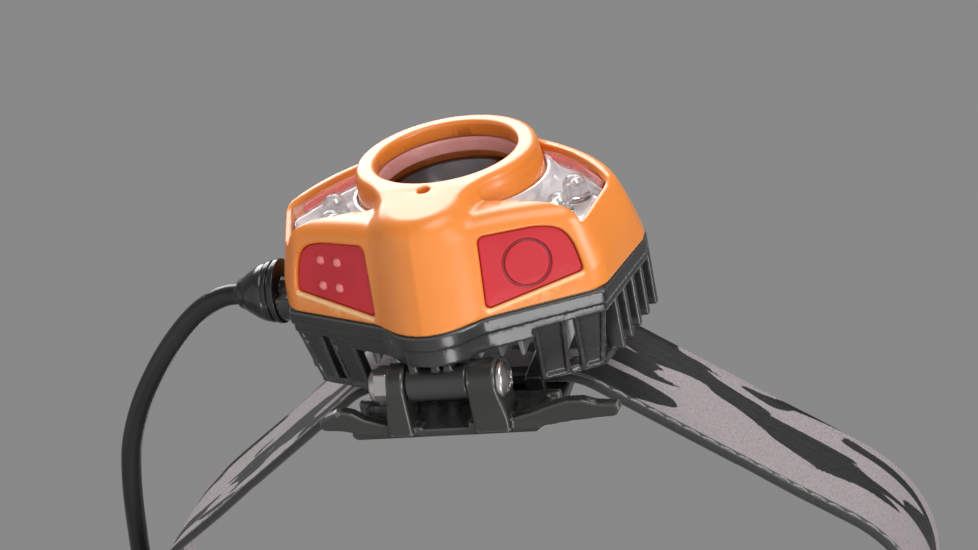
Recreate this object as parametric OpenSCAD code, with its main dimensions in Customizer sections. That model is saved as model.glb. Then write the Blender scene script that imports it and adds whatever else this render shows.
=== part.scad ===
// Expedition headlamp: tilting lamp head, elastic headband and a battery pack at the back.
// Millimetres. The origin is the centre of the head loop, +Z is the wearer's up and
// the lamp faces -Y. The lamp head is drawn in its own frame, where +Z is the lens axis,
// +Y the wearer's up and the origin the centre of the lens ring's front rim.

/* [Lamp head] */
// Inner radius of the lens ring
ring_inner_r = 15; // [14.6:0.1:15.2]
// Outer radius of the lens ring at its rim
ring_outer_r = 19.1; // [18.6:0.1:19.6]
// Depth of the front shell behind the rim
shell_depth = 23; // [22.5:0.1:23.5]
// Wall of the front shell
shell_wall = 1.8; // [1.6:0.1:2]
// Draft of the button faces, degrees
face_draft = 10; // [9:0.5:11]
// Gap around each button
button_gap = 0.3; // [0.25:0.05:0.4]
// How far each button travels
button_travel = 0.8; // [0.5:0.1:0.9]
// Number of cooling fins
fin_count = 11; // [7:2:11]

/* [Hinge] */
// Radius of the hinge bolt's shank
bolt_r = 2; // [1.9:0.05:2.1]
// Running clearance of the lamp's knuckle on the bolt, radial
pivot_gap = 0.05; // [0.03:0.01:0.09]
// Half the space between the bracket's ears
ear_inner = 6.5; // [6.5:0.1:6.8]
// Outer face of the right ear, under the bolt's head
ear_outer = 12.5; // [12.2:0.1:12.8]
// Outer face of the left ear, under the nut
nut_ear_outer = 10.2; // [10:0.1:10.5]

/* [Headband] */
// Width of the elastic
band_w = 30; // [28:1:30]
// Thickness of the elastic
band_t = 1.6; // [1.4:0.1:1.8]
// Half the breadth of the head loop
loop_half_w = 87; // [86.5:0.5:88]
// How far each adjuster slides either way
adjuster_travel = 12; // [6:1:12]

/* [Battery pack] */
// Width of the pack
pack_w = 66; // [65:0.5:68]
// Height of the pack
pack_h = 62; // [61:0.5:64]
// Thickness of the pack with its door
pack_t = 20; // [19.5:0.5:21]

/* [Hidden] */
$fn = 48;
eps = 0.01;

// ---- lamp head, derived ----
// Right half of the shell's outline, front middle to far middle, at its rear edge, at the
// crease round its ends and at its shoulder.
rear_half = [[10.3, -31.7], [33.6, -21.7], [38.6, 1.6], [36.5, 8.5], [31, 14], [22, 19.5], [10, 23]];
crease_half = [[10, -30.2], [33.2, -20.3], [38.2, -1], [36.6, 6], [31, 11.5], [22, 17.5], [10, 21.5]];
shoulder_half = [[10, -28.7], [27.5, -21.2], [31.5, -17], [35, -4], [29, 7.5], [22, 13], [12, 18]];
crease_z = -14;
shoulder_z = -5;
rear_z = -shell_depth;
// Nose in the middle of the front face: a round bulge that leans back with the draft
nose_y = -26.7;
nose_r = 10.8;
nose_top_y = -23.2;
nose_top_r = 9.2;
nose_top_z = -2;
ring_foot_r = 22;
ring_foot_z = -9;
lens_z = -6.6;
lens_t = 1.6;
lens_r = 14.6;
seal_t = 0.4;
band_bottom_z = -26.5;
floor_t = 2;
board_z = -20;
board_t = 1.6;
// A button face: its middle, and its angle about the lens axis
face_at = [21.5, -25.6, -14];
face_angle = atan2(10, 23.3);
button_outline = [[-11, -7.6], [9.3, -4.6], [9.2, 2.2], [8, 4.6], [5.5, 6.2], [-9.7, 7]];
led_places = [[26, -1.5], [24.2, -9.7]];
led_r = 2.5;
screw_places = [[28.9, -17.3], [30.3, 8.8]];
board_screw_at = [11.5, 12.5];
leg_bottom_z = -41.6;
fin_bottom_z = -36.8;
fin_pitch = 4.5;
pivot_at = [0, -34, -35.3];
knuckle_half = 6.3;
knuckle_r = 3.6;
gland_at = [-38, -10, -24.5];

// ---- bracket, derived ----
plate_top_z = -46.4;
plate_t = 2;
plate_half = 21.5;
pad_t = 3;
// ---- headband, derived ----
lamp_offset = [0, -141, 3];
front_y = -95;
front_half = 19;
front_angle = 36;
front_bend_r = 12;
temple_r = 30;
rear_y = 8;
band_clear = 0.35;
straight_start = [front_half + front_bend_r * sin(front_angle), front_y + front_bend_r * (1 - cos(front_angle))];
temple_start_x = loop_half_w - temple_r * (1 - sin(front_angle));
temple_start = [temple_start_x, straight_start.y + (temple_start_x - straight_start.x) * tan(front_angle)];
temple_end_y = temple_start.y + temple_r * cos(front_angle);
// ---- cable from the lamp to the pack, along the left of the head ----
cable_r = 2.25;
cable_sides = 8;
cable_route = [[-48.2, -116.5, -7], [-52, -116.2, -7], [-56.5, -114.4, -7], [-61, -111.3, -7], [-65.5, -107.2, -7],
    [-70, -102.4, -7], [-74, -97.4, -7], [-77.8, -92, -7], [-81.2, -86, -7], [-84, -79.6, -7], [-86.3, -72, -6.5],
    [-88.5, -64, -5.2], [-90.8, -56, -3], [-93, -48, -0.8], [-94, -40, 0], [-94, -29, 0], [-94, -18, 0],
    [-94, -7, 0], [-94, 4, 0], [-94, 15, 0], [-94, 26, 0], [-92.8, 38, -0.6], [-89.8, 50, -2], [-85, 61.5, -4],
    [-78.6, 72, -6], [-71, 82, -8], [-63.2, 91, -9.4], [-57, 98.6, -10], [-52.4, 103.8, -10], [-49, 106.6, -10],
    [-45.5, 107.9, -10], [-41.6, 108, -10]];
// ---- battery pack, derived ----
pack_y = 98;
case_wall = 1.8;
door_t = 2.4;
rim_y = pack_y + pack_t - door_t - 0.6;
cell_r = 7.2;
cell_len = 50.2;
cell_pitch = 14.9;
cell_y = 107.2;
cell_bottom = -28.8;
plate_thick = 0.4;
hinge_at = [0, pack_y + pack_t - 0.6, pack_h / 2 + 2.3];
screw_z = -pack_h / 2 - 3.6;
pack_gland_at = [-pack_w / 2, 108, -10];

function mirror_x(half) = concat(half, [for (i = [len(half) - 1 : -1 : 0]) [-half[i].x, half[i].y]]);
function unit(v) = v / norm(v);
function inward(a, b) = [-(b - a).y, (b - a).x] / norm(b - a);
// Moves each edge of a counter-clockwise outline inward by d
function inset(pts, d) = let (n = len(pts)) [
    for (i = [0 : n - 1])
        let (a = inward(pts[(i + n - 1) % n], pts[i]), b = inward(pts[i], pts[(i + 1) % n]))
            pts[i] + d * (a + b) / (1 + a * b)];
function arc(c, r, a0, a1, n) = [for (i = [0 : n]) c + r * [cos(a0 + (a1 - a0) * i / n), sin(a0 + (a1 - a0) * i / n)]];

rear_outline = mirror_x(rear_half);

module slab(pts, z0, z1) translate([0, 0, z0]) linear_extrude(z1 - z0) polygon(pts);
module on_lamp() translate(lamp_offset) rotate([90, 0, 0]) children();
module on_face(side) mirror([side < 0 ? 1 : 0, 0, 0]) translate(face_at)
    rotate([0, 0, face_angle]) rotate([90 - face_draft, 0, 0]) children();
module gland_frame() translate(gland_at) rotate([0, -90, 0]) children();
module gland_hole() gland_frame() cylinder(r = 3.1, h = 14, center = true);
module both_sides() { children(); mirror([1, 0, 0]) children(); }

// Solid of the front shell without its ring, d inside its outer face
module shell_body(d, top) hull() {
    slab(inset(rear_outline, d), rear_z - (d > 0 ? 1 : 0), rear_z + 0.1);
    slab(inset(mirror_x(crease_half), d), crease_z, crease_z + 0.1);
    slab(inset(mirror_x(shoulder_half), d), top - 0.1, top);
}
module shell_nose(d) hull() {
    translate([0, nose_y, rear_z - (d > 0 ? 1 : 0)]) cylinder(r = nose_r - d, h = 0.1, $fn = 32);
    translate([0, nose_top_y, nose_top_z - d - 0.1]) cylinder(r = nose_top_r - d, h = 0.1, $fn = 32);
    translate([0, -12, rear_z - (d > 0 ? 1 : 0)]) cylinder(r = nose_r - d, h = 0.1, $fn = 32);
    translate([0, -10, nose_top_z - d - 0.1]) cylinder(r = nose_top_r - d, h = 0.1, $fn = 32);
}
// Outline of a side window, right-hand side
window_pts = [[12.7, -17.6], [26, -17.6], [31.8, -16.5], [34, -5], [29, 2.2], [24, 7.8], [18.2, 11.2], [13, 13.4],
    [14, 0]];
module window_hole(d, z0, z1) difference() {
    slab(inset(window_pts, -d), z0, z1);
    translate([0, 0, -30]) cylinder(r = ring_foot_r - d - 0.4, h = 40, $fn = 96);
}
module button_cut(d) linear_extrude(12, center = true) polygon(inset(button_outline, -d));

// Boss for a housing screw, with the web that ties it to the nearest wall
module screw_boss(at) {
    translate([at.x, at.y, -22.6]) cylinder(r = 2.3, h = 2.2);
    translate([at.x, at.y, -22.6]) rotate([0, 0, at.y < 0 ? -55 : 45]) translate([0, -0.7, 0]) cube([6, 1.4, 2.2]);
}
module front_shell() color([0.93, 0.45, 0.16]) difference() {
    union() {
        shell_body(0, shoulder_z);
        shell_nose(0);
        translate([0, 0, ring_foot_z])
            cylinder(r1 = ring_foot_r, r2 = ring_outer_r, h = -ring_foot_z, $fn = 96);
    }
    difference() {
        union() {
            shell_body(shell_wall, shoulder_z - shell_wall);
            shell_nose(shell_wall);
        }
        translate([0, 0, -13]) cylinder(r = ring_inner_r + 2.8, h = 14, $fn = 96);
        both_sides() for (at = screw_places) screw_boss(at);
    }
    both_sides() for (at = screw_places) translate([at.x, at.y, -25]) cylinder(r = 1.25, h = 4.2);
    translate([0, 0, -3.6]) cylinder(r = ring_inner_r, h = 5, $fn = 96);
    translate([0, 0, -14]) cylinder(r = ring_inner_r + 1.2, h = 10.4, $fn = 96);
    both_sides() window_hole(0, -20, 2);
    for (side = [-1, 1]) on_face(side) button_cut(button_gap);
    translate([0, -18.6, -8]) cylinder(r = 1.3, h = 9);
    gland_hole();
}
module housing_seal() color([0.07, 0.07, 0.07]) difference() {
    union() {
        slab(inset(rear_outline, 0.5), rear_z - seal_t, rear_z);
        translate([0, nose_y, rear_z - seal_t]) cylinder(r = nose_r - 0.5, h = seal_t);
    }
    slab(inset(rear_outline, 1.7), rear_z - 1, rear_z + 1);
    translate([0, nose_y, rear_z - 1]) cylinder(r = nose_r - 1.7, h = 2);
    gland_hole();
}
module lens_gasket() color([0.8, 0.2, 0.2]) translate([0, 0, lens_z]) difference() {
    cylinder(r = ring_inner_r + 1.15, h = 2.95, $fn = 96);
    translate([0, 0, -1]) cylinder(r = 14, h = 6, $fn = 96);
}
module main_lens() color([0.85, 0.9, 0.95, 0.5]) translate([0, 0, lens_z - lens_t])
    cylinder(r = lens_r + 1.2, h = lens_t - 0.05, $fn = 96);
module main_reflector() color([0.8, 0.8, 0.82]) rotate_extrude($fn = 96)
    polygon(concat([for (i = [0 : 8]) [4.2 + 9.3 * sqrt(i / 8), -17.6 + 9.2 * i / 8]], [[15.6, -8.4], [15.6, -9.6]],
        [for (i = [8 : -1 : 0]) [5.4 + 9 * sqrt(i / 8), -17.6 + 8 * i / 8]]));
module main_emitter() color([0.95, 0.85, 0.35]) {
    translate([-2.5, -2.5, -19.3]) cube([5, 5, 1]);
    translate([0, 0, -18.3]) intersection() {
        sphere(r = 2.2);
        translate([-3, -3, 0]) cube([6, 6, 3]);
    }
}
module emitter_board() color([0.9, 0.9, 0.9]) difference() {
    translate([0, 0, -20.9]) cylinder(r = 9, h = 1.6);
    both_sides() translate([6.5, 0, -22]) cylinder(r = 1.3, h = 4);
}
module circuit_board() color([0.1, 0.4, 0.2]) difference() {
    slab(inset(rear_outline, 6.4), board_z - board_t, board_z);
    translate([0, 0, board_z - 3]) cylinder(r = 9.6, h = 6);
    both_sides() {
        for (at = screw_places) translate([at.x, at.y, board_z - 3]) cylinder(r = 2.8, h = 6);
        translate([board_screw_at.x, board_screw_at.y, board_z - 3]) cylinder(r = 1.5, h = 6);
    }
}
module side_leds(side) color([0.85, 0.87, 0.9]) mirror([side < 0 ? 1 : 0, 0, 0]) for (at = led_places)
    translate([at.x, at.y, 0]) {
        translate([0, 0, -17.2]) cylinder(r = led_r + 0.4, h = 1);
        translate([0, 0, -16.2]) cylinder(r = led_r, h = 4.4);
        translate([0, 0, -11.8]) intersection() {
            sphere(r = led_r);
            translate([-3, -3, 0]) cube([6, 6, 3]);
        }
        for (x = [-1.27, 1.27]) translate([x, 0, board_z]) cylinder(r = 0.3, h = 3, $fn = 16);
    }
// Outline of the tray below a window, whose near wall stands back from the switch
tray_pts = [[12.7, -14.4], [25.5, -14.4], [31.4, -13.4], [34, -5], [29, 2.2], [24, 7.8], [18.2, 11.2], [13, 13.4],
    [14, 0]];
module tray_hole(d, z0, z1) difference() {
    slab(inset(tray_pts, -d), z0, z1);
    translate([0, 0, -30]) cylinder(r = ring_foot_r - d - 3, h = 40, $fn = 96);
}
module side_reflector(side) color([0.93, 0.93, 0.95]) mirror([side < 0 ? 1 : 0, 0, 0]) difference() {
    tray_hole(-0.6, -16, -10.3);
    tray_hole(-1.6, -15, -9);
    for (at = led_places) translate([at.x, at.y, -18]) cylinder(r = led_r + 0.15, h = 5);
}
module window_gasket(side) color([0.85, 0.2, 0.15]) mirror([side < 0 ? 1 : 0, 0, 0]) difference() {
    window_hole(-0.15, -10.2, -8.1);
    window_hole(-1.2, -11, -7);
}
module window(side) color([0.85, 0.9, 0.95, 0.5]) mirror([side < 0 ? 1 : 0, 0, 0])
    window_hole(-0.15, -8, -6.8);
module indicator_led() color([0.9, 0.2, 0.2]) {
    translate([0, -18.6, -8]) cylinder(r = 1.1, h = 4.8);
    translate([-1.2, -20.4, -10.4]) cube([2.4, 2.4, 2.4]);
}
module switch_unit(side) color([0.25, 0.25, 0.27]) on_face(side) {
    translate([-3, -3, -7.4]) cube([6, 6, 2.4]);
    translate([0, 0, -5]) cylinder(r = 1.6, h = 1.8 - button_travel);
    translate([-4.5, -4.5, -8.4]) cube([9, 9, 1]);
}
module button(side) color([0.72, 0.1, 0.13]) on_face(side) difference() {
    union() {
        translate([0, 0, -2.7]) linear_extrude(1.9) polygon(button_outline);
        translate([0, 0, -3.1]) linear_extrude(0.5) polygon(inset(button_outline, -0.7));
        if (side < 0) for (x = [-2.2, 2.2], y = [-2.7, 2.7]) translate([x, y, -1.1]) sphere(r = 1, $fn = 24);
    }
    if (side > 0) translate([-1.2, -0.4, -0.95]) difference() {
        cylinder(r = 4.9, h = 1);
        translate([0, 0, -1]) cylinder(r = 4.5, h = 3);
    }
}
// Pieces of the dark rear housing, in the lamp frame
// A leg follows the front face: its span along the face at the top, then at the foot
module housing_leg(top, foot) translate([rear_half[0].x, rear_half[0].y, 0]) rotate([0, 0, face_angle]) hull() {
    translate([top[0], 0.6, -27.6]) cube([top[1] - top[0], 2, 1]);
    translate([foot[0], 3.2, leg_bottom_z]) cube([foot[1] - foot[0], 2, 1]);
}
module housing_ribs() for (i = [0 : 4]) {
    y = -15 + 4.6 * i;
    x = 34.6 + 0.95 * i;
    translate([x - 4.4, y, leg_bottom_z + 1]) cube([3.6, 1.5, 14.1]);
}
module far_ribs() for (x = [-27, -18, -9, 0, 9, 18, 27])
    translate([x - 0.75, 21.4 - abs(x) * abs(x) * 0.0115 - 4, leg_bottom_z + 1]) cube([1.5, 3.6, 14.1]);
module rear_housing() color([0.2, 0.2, 0.2]) difference() {
    union() {
        difference() {
            union() {
                slab(inset(rear_outline, 0.15), band_bottom_z - floor_t, rear_z - seal_t);
                translate([0, nose_y, band_bottom_z - floor_t])
                    cylinder(r = nose_r - 0.15, h = rear_z - seal_t - band_bottom_z + floor_t);
            }
            slab(inset(rear_outline, 2), band_bottom_z, rear_z + 1);
            translate([0, nose_y, band_bottom_z]) cylinder(r = nose_r - 2, h = 5);
        }
        intersection() {
            difference() {
                union() {
                    slab(inset(rear_outline, 0.7), -30.4, band_bottom_z);
                    translate([0, nose_y, -30.4]) cylinder(r = nose_r - 0.7, h = 3.9);
                }
                slab(inset(rear_outline, 2.6), -32, band_bottom_z - floor_t);
                translate([0, nose_y, -32]) cylinder(r = nose_r - 2.6, h = 3.5);
            }
            translate([-19, -40, -31]) cube([38, 22, 6]);
        }
        both_sides() {
            housing_leg([9.9, 16.6], [9.9, 16]);
            housing_leg([18.2, 25], [18.4, 23.2]);
            housing_ribs();
        }
        far_ribs();
        difference() {
            slab(inset(rear_outline, 3.4), leg_bottom_z, leg_bottom_z + 1.6);
            slab(inset(rear_outline, 7), leg_bottom_z - 1, leg_bottom_z + 3);
            translate([-19, -40, leg_bottom_z - 1]) cube([38, 26, 4]);
        }
        intersection() {
            gland_frame() translate([0, 0, -4]) cylinder(r = 6.4, h = 4.3);
            translate([-45, -20, -32]) cube([12, 20, 32 + rear_z - seal_t]);
        }
        translate(pivot_at) rotate([0, 90, 0]) cylinder(r = knuckle_r, h = 2 * knuckle_half, center = true);
        for (x = [-4.6, 0, 2.6]) translate([x - 0.8, pivot_at.y - 1.6, -34]) cube([1.8, 11, 6.5]);
    }
    translate([-26.5, -20.5, band_bottom_z - floor_t - 2]) cube([53, 33, 6]);
    translate(pivot_at) rotate([0, 90, 0]) cylinder(r = bolt_r + pivot_gap, h = 30, center = true);
    for (at = screw_places) both_sides() translate([at.x, at.y, -32]) cylinder(r = 1.3, h = 8);
    gland_hole();
}
module heat_sink() color([0.75, 0.75, 0.76]) {
    translate([-27.4, -21.2, band_bottom_z]) cube([54.8, 33.8, 2.9]);
    for (i = [0 : fin_count - 1]) translate([(i - (fin_count - 1) / 2) * fin_pitch - 0.7, -20, fin_bottom_z])
        cube([1.4, 32, band_bottom_z - fin_bottom_z + 0.5]);
    translate([0, 0, band_bottom_z + 2.8]) cylinder(r = 9, h = 2.8);
}
module housing_screws() color([0.7, 0.7, 0.7]) for (at = screw_places) both_sides()
    translate([at.x, at.y, 0]) difference() {
        union() {
            translate([0, 0, -30.1]) cylinder(r = 2, h = 1.6);
            translate([0, 0, -28.5]) cylinder(r = 1.25, h = 7.7);
        }
        translate([0, 0, -30.6]) cylinder(r = 1.1, h = 1.3, $fn = 6);
    }
module board_screws() color([0.7, 0.7, 0.7]) both_sides() {
    translate([board_screw_at.x, board_screw_at.y, board_z]) cylinder(r = 2.4, h = 1.4);
    translate([board_screw_at.x, board_screw_at.y, band_bottom_z + 2.9]) cylinder(r = 1.5, h = board_z - band_bottom_z - 2.9);
    translate([6.5, 0, -19.3]) cylinder(r = 2.1, h = 1.2);
    translate([6.5, 0, -20.9]) cylinder(r = 1.2, h = 1.6);
}
module gland_nut() color([0.08, 0.08, 0.08]) gland_frame() difference() {
    union() {
        translate([0, 0, -3.5]) cylinder(r = 3, h = 4);
        translate([0, 0, 0.4]) cylinder(r = 6.9, h = 1.2);
        translate([0, 0, 1.6]) cylinder(r = 6.1, h = 0.5);
        translate([0, 0, 2.1]) cylinder(r = 6.6, h = 1.1);
    }
    translate([0, 0, -6]) cylinder(r = 2.2, h = 12);
}
module cable_boot() color([0.08, 0.08, 0.08]) gland_frame() difference() {
    union() {
        translate([0, 0, 3.2]) cylinder(r1 = 6.3, r2 = 4.2, h = 4.4);
        translate([0, 0, 7.6]) cylinder(r1 = 4.2, r2 = 3.1, h = 2.6);
    }
    translate([0, 0, 9.2]) cylinder(r = 2.3, h = 2);
}

// ---- bracket on the forehead, in the lamp frame ----
module bracket_ear(outer) {
    translate([ear_inner, pivot_at.y, pivot_at.z]) rotate([0, 90, 0]) cylinder(r = 4.4, h = outer - ear_inner);
    translate([ear_inner, pivot_at.y - 4.4, -44.6]) cube([outer - ear_inner, 8.8, pivot_at.z + 44.6]);
}
// Half of the shelf below the ears, in the x-z plane
shelf_pts = [[0, -46], [0, -44.2], [19, -44.2], [20, -45], [19, -46]];
// Crests in front of the shelf, outwards from the middle; the right one is the longer
right_crest_pts = [[5, -43.2], [13.5, -42.8], [18, -41.8], [22.6, -40.2], [25.7, -39.4], [28.9, -39.4], [31.6, -40.4],
    [35.9, -40.8], [36.3, -41.8], [35.4, -43.4], [31, -43.7], [26, -44.1], [21.8, -44.7], [17.3, -45.4], [5, -45.6]];
left_crest_pts = [[5, -43.8], [10.3, -43.3], [13.8, -42.4], [16.6, -41.4], [18.9, -39.8], [20.7, -39.3],
    [22.7, -39.6], [24.9, -40.5], [26.2, -41.2], [26.2, -43], [25.4, -43.5], [21.8, -43.8], [17.4, -44.8],
    [13.7, -45.4], [5, -45.6]];
module front_prism(pts, y0, y1) translate([0, y1, 0]) rotate([90, 0, 0]) linear_extrude(y1 - y0) polygon(pts);
module bracket() color([0.27, 0.27, 0.26]) difference() {
    union() {
        bracket_ear(ear_outer);
        mirror([1, 0, 0]) bracket_ear(nut_ear_outer);
        front_prism(right_crest_pts, -37.2, -34.6);
        mirror([1, 0, 0]) front_prism(left_crest_pts, -37.2, -34.6);
        both_sides() {
            front_prism(shelf_pts, -37.2, -24);
            for (y = [-20.6, 12.6]) translate([13, y, plate_top_z - eps]) cube([4, 2, 2.8]);
            translate([13, -20.6, plate_top_z + 2.5]) cube([4, 35.2, 1]);
        }
        translate([-plate_half, -26, plate_top_z - plate_t]) cube([2 * plate_half, 42, plate_t]);
        translate([-plate_half, -26, plate_top_z - plate_t]) cube([2 * plate_half, 2, plate_t + 2.6]);
        translate([-plate_half, 13, plate_top_z - eps]) cube([2 * plate_half, 3, 2.6]);
    }
    translate(pivot_at) rotate([0, 90, 0]) cylinder(r = bolt_r, h = 40, center = true);
}
module hinge_bolt() color([0.75, 0.75, 0.75]) translate(pivot_at) rotate([0, 90, 0]) difference() {
    union() {
        translate([0, 0, -nut_ear_outer - nut_h]) cylinder(r = bolt_r, h = nut_h + nut_ear_outer + ear_outer);
        translate([0, 0, ear_outer]) cylinder(r1 = 4, r2 = 3.5, h = 1.2);
        translate([0, 0, ear_outer + 1.2]) cylinder(r1 = 3.5, r2 = 2.2, h = 1);
    }
    for (a = [0, 90]) rotate([0, 0, a]) translate([-1.9, -0.35, ear_outer + 1]) cube([3.8, 0.7, 2]);
}
// Lock nut: hexagon with a round collar
nut_h = 4;
module hinge_nut() color([0.75, 0.75, 0.75]) translate(pivot_at) rotate([0, -90, 0])
    translate([0, 0, nut_ear_outer]) difference() {
        union() {
            cylinder(r = 4.04, h = 2.6, $fn = 6);
            cylinder(r = 3.4, h = nut_h);
        }
        translate([0, 0, -1]) cylinder(r = bolt_r, h = 7);
    }
module forehead_pad() color([0.15, 0.15, 0.16])
    translate([1 - plate_half, -25, plate_top_z - plate_t - pad_t]) cube([2 * plate_half - 2, 40, pad_t]);

// ---- elastic headband, in the worn frame ----
// Plan of the band d outside its inner face, right half: front, temple and rear
function front_line(d) = concat([[0, front_y - d]],
    arc([front_half, front_y + front_bend_r], front_bend_r + d, -90, -90 + front_angle, 4),
    [temple_start + d * [sin(front_angle), -cos(front_angle)]]);
function side_line(d) = arc([loop_half_w - temple_r, temple_end_y], temple_r + d, -90 + front_angle, 0, 10);
function rear_line(d) = arc([0, rear_y], loop_half_w + d, 0, 90, 24);
function reverse(pts) = [for (i = [len(pts) - 1 : -1 : 0]) pts[i]];
function ribbon(outer, inner) = concat(outer, reverse(inner));
module band(pts) translate([0, 0, -band_w / 2]) linear_extrude(band_w) polygon(pts);

module strap_front() color([0.3, 0.29, 0.29]) both_sides() band(ribbon(front_line(band_t), front_line(0)));
module strap_side() color([0.3, 0.29, 0.29]) band(ribbon(
    concat(side_line(band_t), [[loop_half_w + band_t, rear_y]]), concat(side_line(0), [[loop_half_w, rear_y]])));
module strap_rear() color([0.3, 0.29, 0.29]) both_sides() band(ribbon(rear_line(band_t), rear_line(0)));
// Sliding adjuster: a frame whose bars pass inside and outside the elastic
module adjuster() color([0.08, 0.08, 0.08]) {
    inner_x = loop_half_w - band_clear;
    outer_x = loop_half_w + band_t + band_clear;
    half_z = band_w / 2 + band_clear;
    for (z = [-half_z - 3, half_z]) translate([inner_x - 1.8, -17.5, z]) cube([band_t + 2 * band_clear + 3.6, 15, 3]);
    translate([outer_x, -17.5, -half_z - 0.5]) cube([1.8, 3, 2 * half_z + 1]);
    translate([outer_x, -5.5, -half_z - 0.5]) cube([1.8, 3, 2 * half_z + 1]);
    translate([inner_x - 1.8, -11.5, -half_z - 0.5]) cube([1.8, 3, 2 * half_z + 1]);
}

function tangent(i) = unit(cable_route[min(i + 1, len(cable_route) - 1)] - cable_route[max(i - 1, 0)]);
function ring_points(i) = let (t = i == 0 || i == len(cable_route) - 1 ? [i == 0 ? -1 : 1, 0, 0] : tangent(i),
    side = unit(cross([0, 0, 1], t)), up = cross(t, side))
    [for (k = [0 : cable_sides - 1]) cable_route[i] + cable_r * (cos(360 * k / cable_sides) * side
        + sin(360 * k / cable_sides) * up)];
module power_cable() color([0.1, 0.1, 0.1]) {
    n = cable_sides;
    last = len(cable_route) - 1;
    polyhedron([for (i = [0 : last]) each ring_points(i)],
        concat([[for (k = [0 : n - 1]) k]], [[for (k = [n - 1 : -1 : 0]) last * n + k]],
            [for (i = [0 : last - 1], k = [0 : n - 1])
                [i * n + k, (i + 1) * n + k, (i + 1) * n + (k + 1) % n, i * n + (k + 1) % n]]));
}
module cable_clips() color([0.1, 0.1, 0.1]) for (y = [-37, 14]) translate([-94, y, 0]) difference() {
    union() {
        rotate([-90, 0, 0]) cylinder(r = 3.9, h = 5.5);
        translate([2, 0, -6]) cube([3, 5.5, 12]);
    }
    translate([0, -1, 0]) rotate([-90, 0, 0]) cylinder(r = cable_r + 0.05, h = 8);
}

// ---- battery pack at the back of the head ----
function rounded(w, h, r) = concat(arc([w / 2 - r, h / 2 - r], r, 0, 90, 6), arc([r - w / 2, h / 2 - r], r, 90, 180, 6),
    arc([r - w / 2, r - h / 2], r, 180, 270, 6), arc([w / 2 - r, r - h / 2], r, 270, 360, 6));
module back_prism(pts, y0, y1) translate([0, y1, 0]) rotate([90, 0, 0]) linear_extrude(y1 - y0) polygon(pts);
module pack_outline(d, y0, y1, r = 5) back_prism(rounded(pack_w - 2 * d, pack_h - 2 * d, r), y0, y1);
module screw_lug(y0, y1) hull() {
    translate([0, y0, screw_z]) rotate([-90, 0, 0]) cylinder(r = 4.2, h = y1 - y0, $fn = 32);
    translate([-7, y0, screw_z + 3.6]) cube([14, y1 - y0, 1.7]);
}
// Barrel of the door hinge over one span of x
module hinge_barrel(x0, x1) translate([x0, hinge_at.y, hinge_at.z]) rotate([0, 90, 0]) cylinder(r = 2, h = x1 - x0);
module pack_case() color([0.13, 0.13, 0.13]) difference() {
    union() {
        difference() {
            pack_outline(0, pack_y, rim_y);
            pack_outline(case_wall, pack_y + case_wall, rim_y + 1, 2);
        }
        screw_lug(rim_y - 8, rim_y);
        both_sides() {
            hinge_barrel(12.2, 22);
            translate([12.2, rim_y - 4, pack_h / 2 - 1]) cube([9.8, 4, hinge_at.z - pack_h / 2 + 1]);
            translate([12.2, rim_y - 4, hinge_at.z - 2]) cube([9.8, hinge_at.y - rim_y + 4, 2]);
            for (z = [-18.6, 15.5]) translate([21, 87.9, z]) cube([6, pack_y - 87.9 + eps, 3.1]);
            translate([21, 87.9, -18]) cube([6, 2.3, 36]);
        }
    }
    translate(hinge_at) rotate([0, 90, 0]) cylinder(r = 1, h = 60, center = true);
    translate([0, rim_y - 9, screw_z]) rotate([-90, 0, 0]) cylinder(r = 2.1, h = 12);
    translate(pack_gland_at) rotate([0, 90, 0]) cylinder(r = 3.05, h = 8, center = true);
}
module pack_seal() color([0.05, 0.05, 0.05]) difference() {
    pack_outline(0.4, rim_y, rim_y + 0.55);
    pack_outline(1.5, rim_y - 1, rim_y + 2);
}
module pack_door() color([0.13, 0.13, 0.13]) difference() {
    union() {
        pack_outline(0, rim_y + 0.6, pack_y + pack_t);
        pack_outline(8, rim_y + 1, pack_y + pack_t + 0.8);
        screw_lug(rim_y + 0.6, pack_y + pack_t);
        hinge_barrel(-12, 12);
        translate([-12, rim_y + 0.9, pack_h / 2 - 1]) cube([24, pack_y + pack_t - rim_y - 0.9, hinge_at.z - pack_h / 2 + 1]);
    }
    translate(hinge_at) rotate([0, 90, 0]) cylinder(r = 1.05, h = 60, center = true);
    translate([0, rim_y - 6, screw_z]) rotate([-90, 0, 0]) cylinder(r = 1.55, h = 20);
}
module door_pin() color([0.7, 0.7, 0.7]) translate(hinge_at) rotate([0, 90, 0]) cylinder(r = 1, h = 44, center = true);
module door_screw() color([0.6, 0.6, 0.6]) translate([0, pack_y + pack_t, screw_z]) rotate([-90, 0, 0]) difference() {
    union() {
        translate([0, 0, -7]) cylinder(r = 1.5, h = 7.2);
        translate([0, 0, 0.1]) cylinder(r = 4, h = 3);
    }
    translate([-5, -0.6, 2]) cube([10, 1.2, 2]);
}
module cell(i) color([0.55, 0.57, 0.6]) {
    flip = i % 2;
    translate([(i - 1.5) * cell_pitch, cell_y, cell_bottom + (flip == 1 ? cell_len : 0)])
        mirror([0, 0, flip]) {
            cylinder(r = cell_r, h = cell_len - 1);
            translate([0, 0, cell_len - 1]) cylinder(r = 2.7, h = 1);
        }
}
module contact_plates() color([0.8, 0.8, 0.8]) {
    for (x = [-cell_pitch, cell_pitch]) translate([x - 13, cell_y - 5, cell_bottom - plate_thick])
        cube([26, 10, plate_thick]);
    for (x = [-1.5, 0, 1.5]) translate([x * cell_pitch - (x == 0 ? 13 : 5.5), cell_y - 5, 28.7])
        cube([x == 0 ? 26 : 11, 10, plate_thick]);
}
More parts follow.
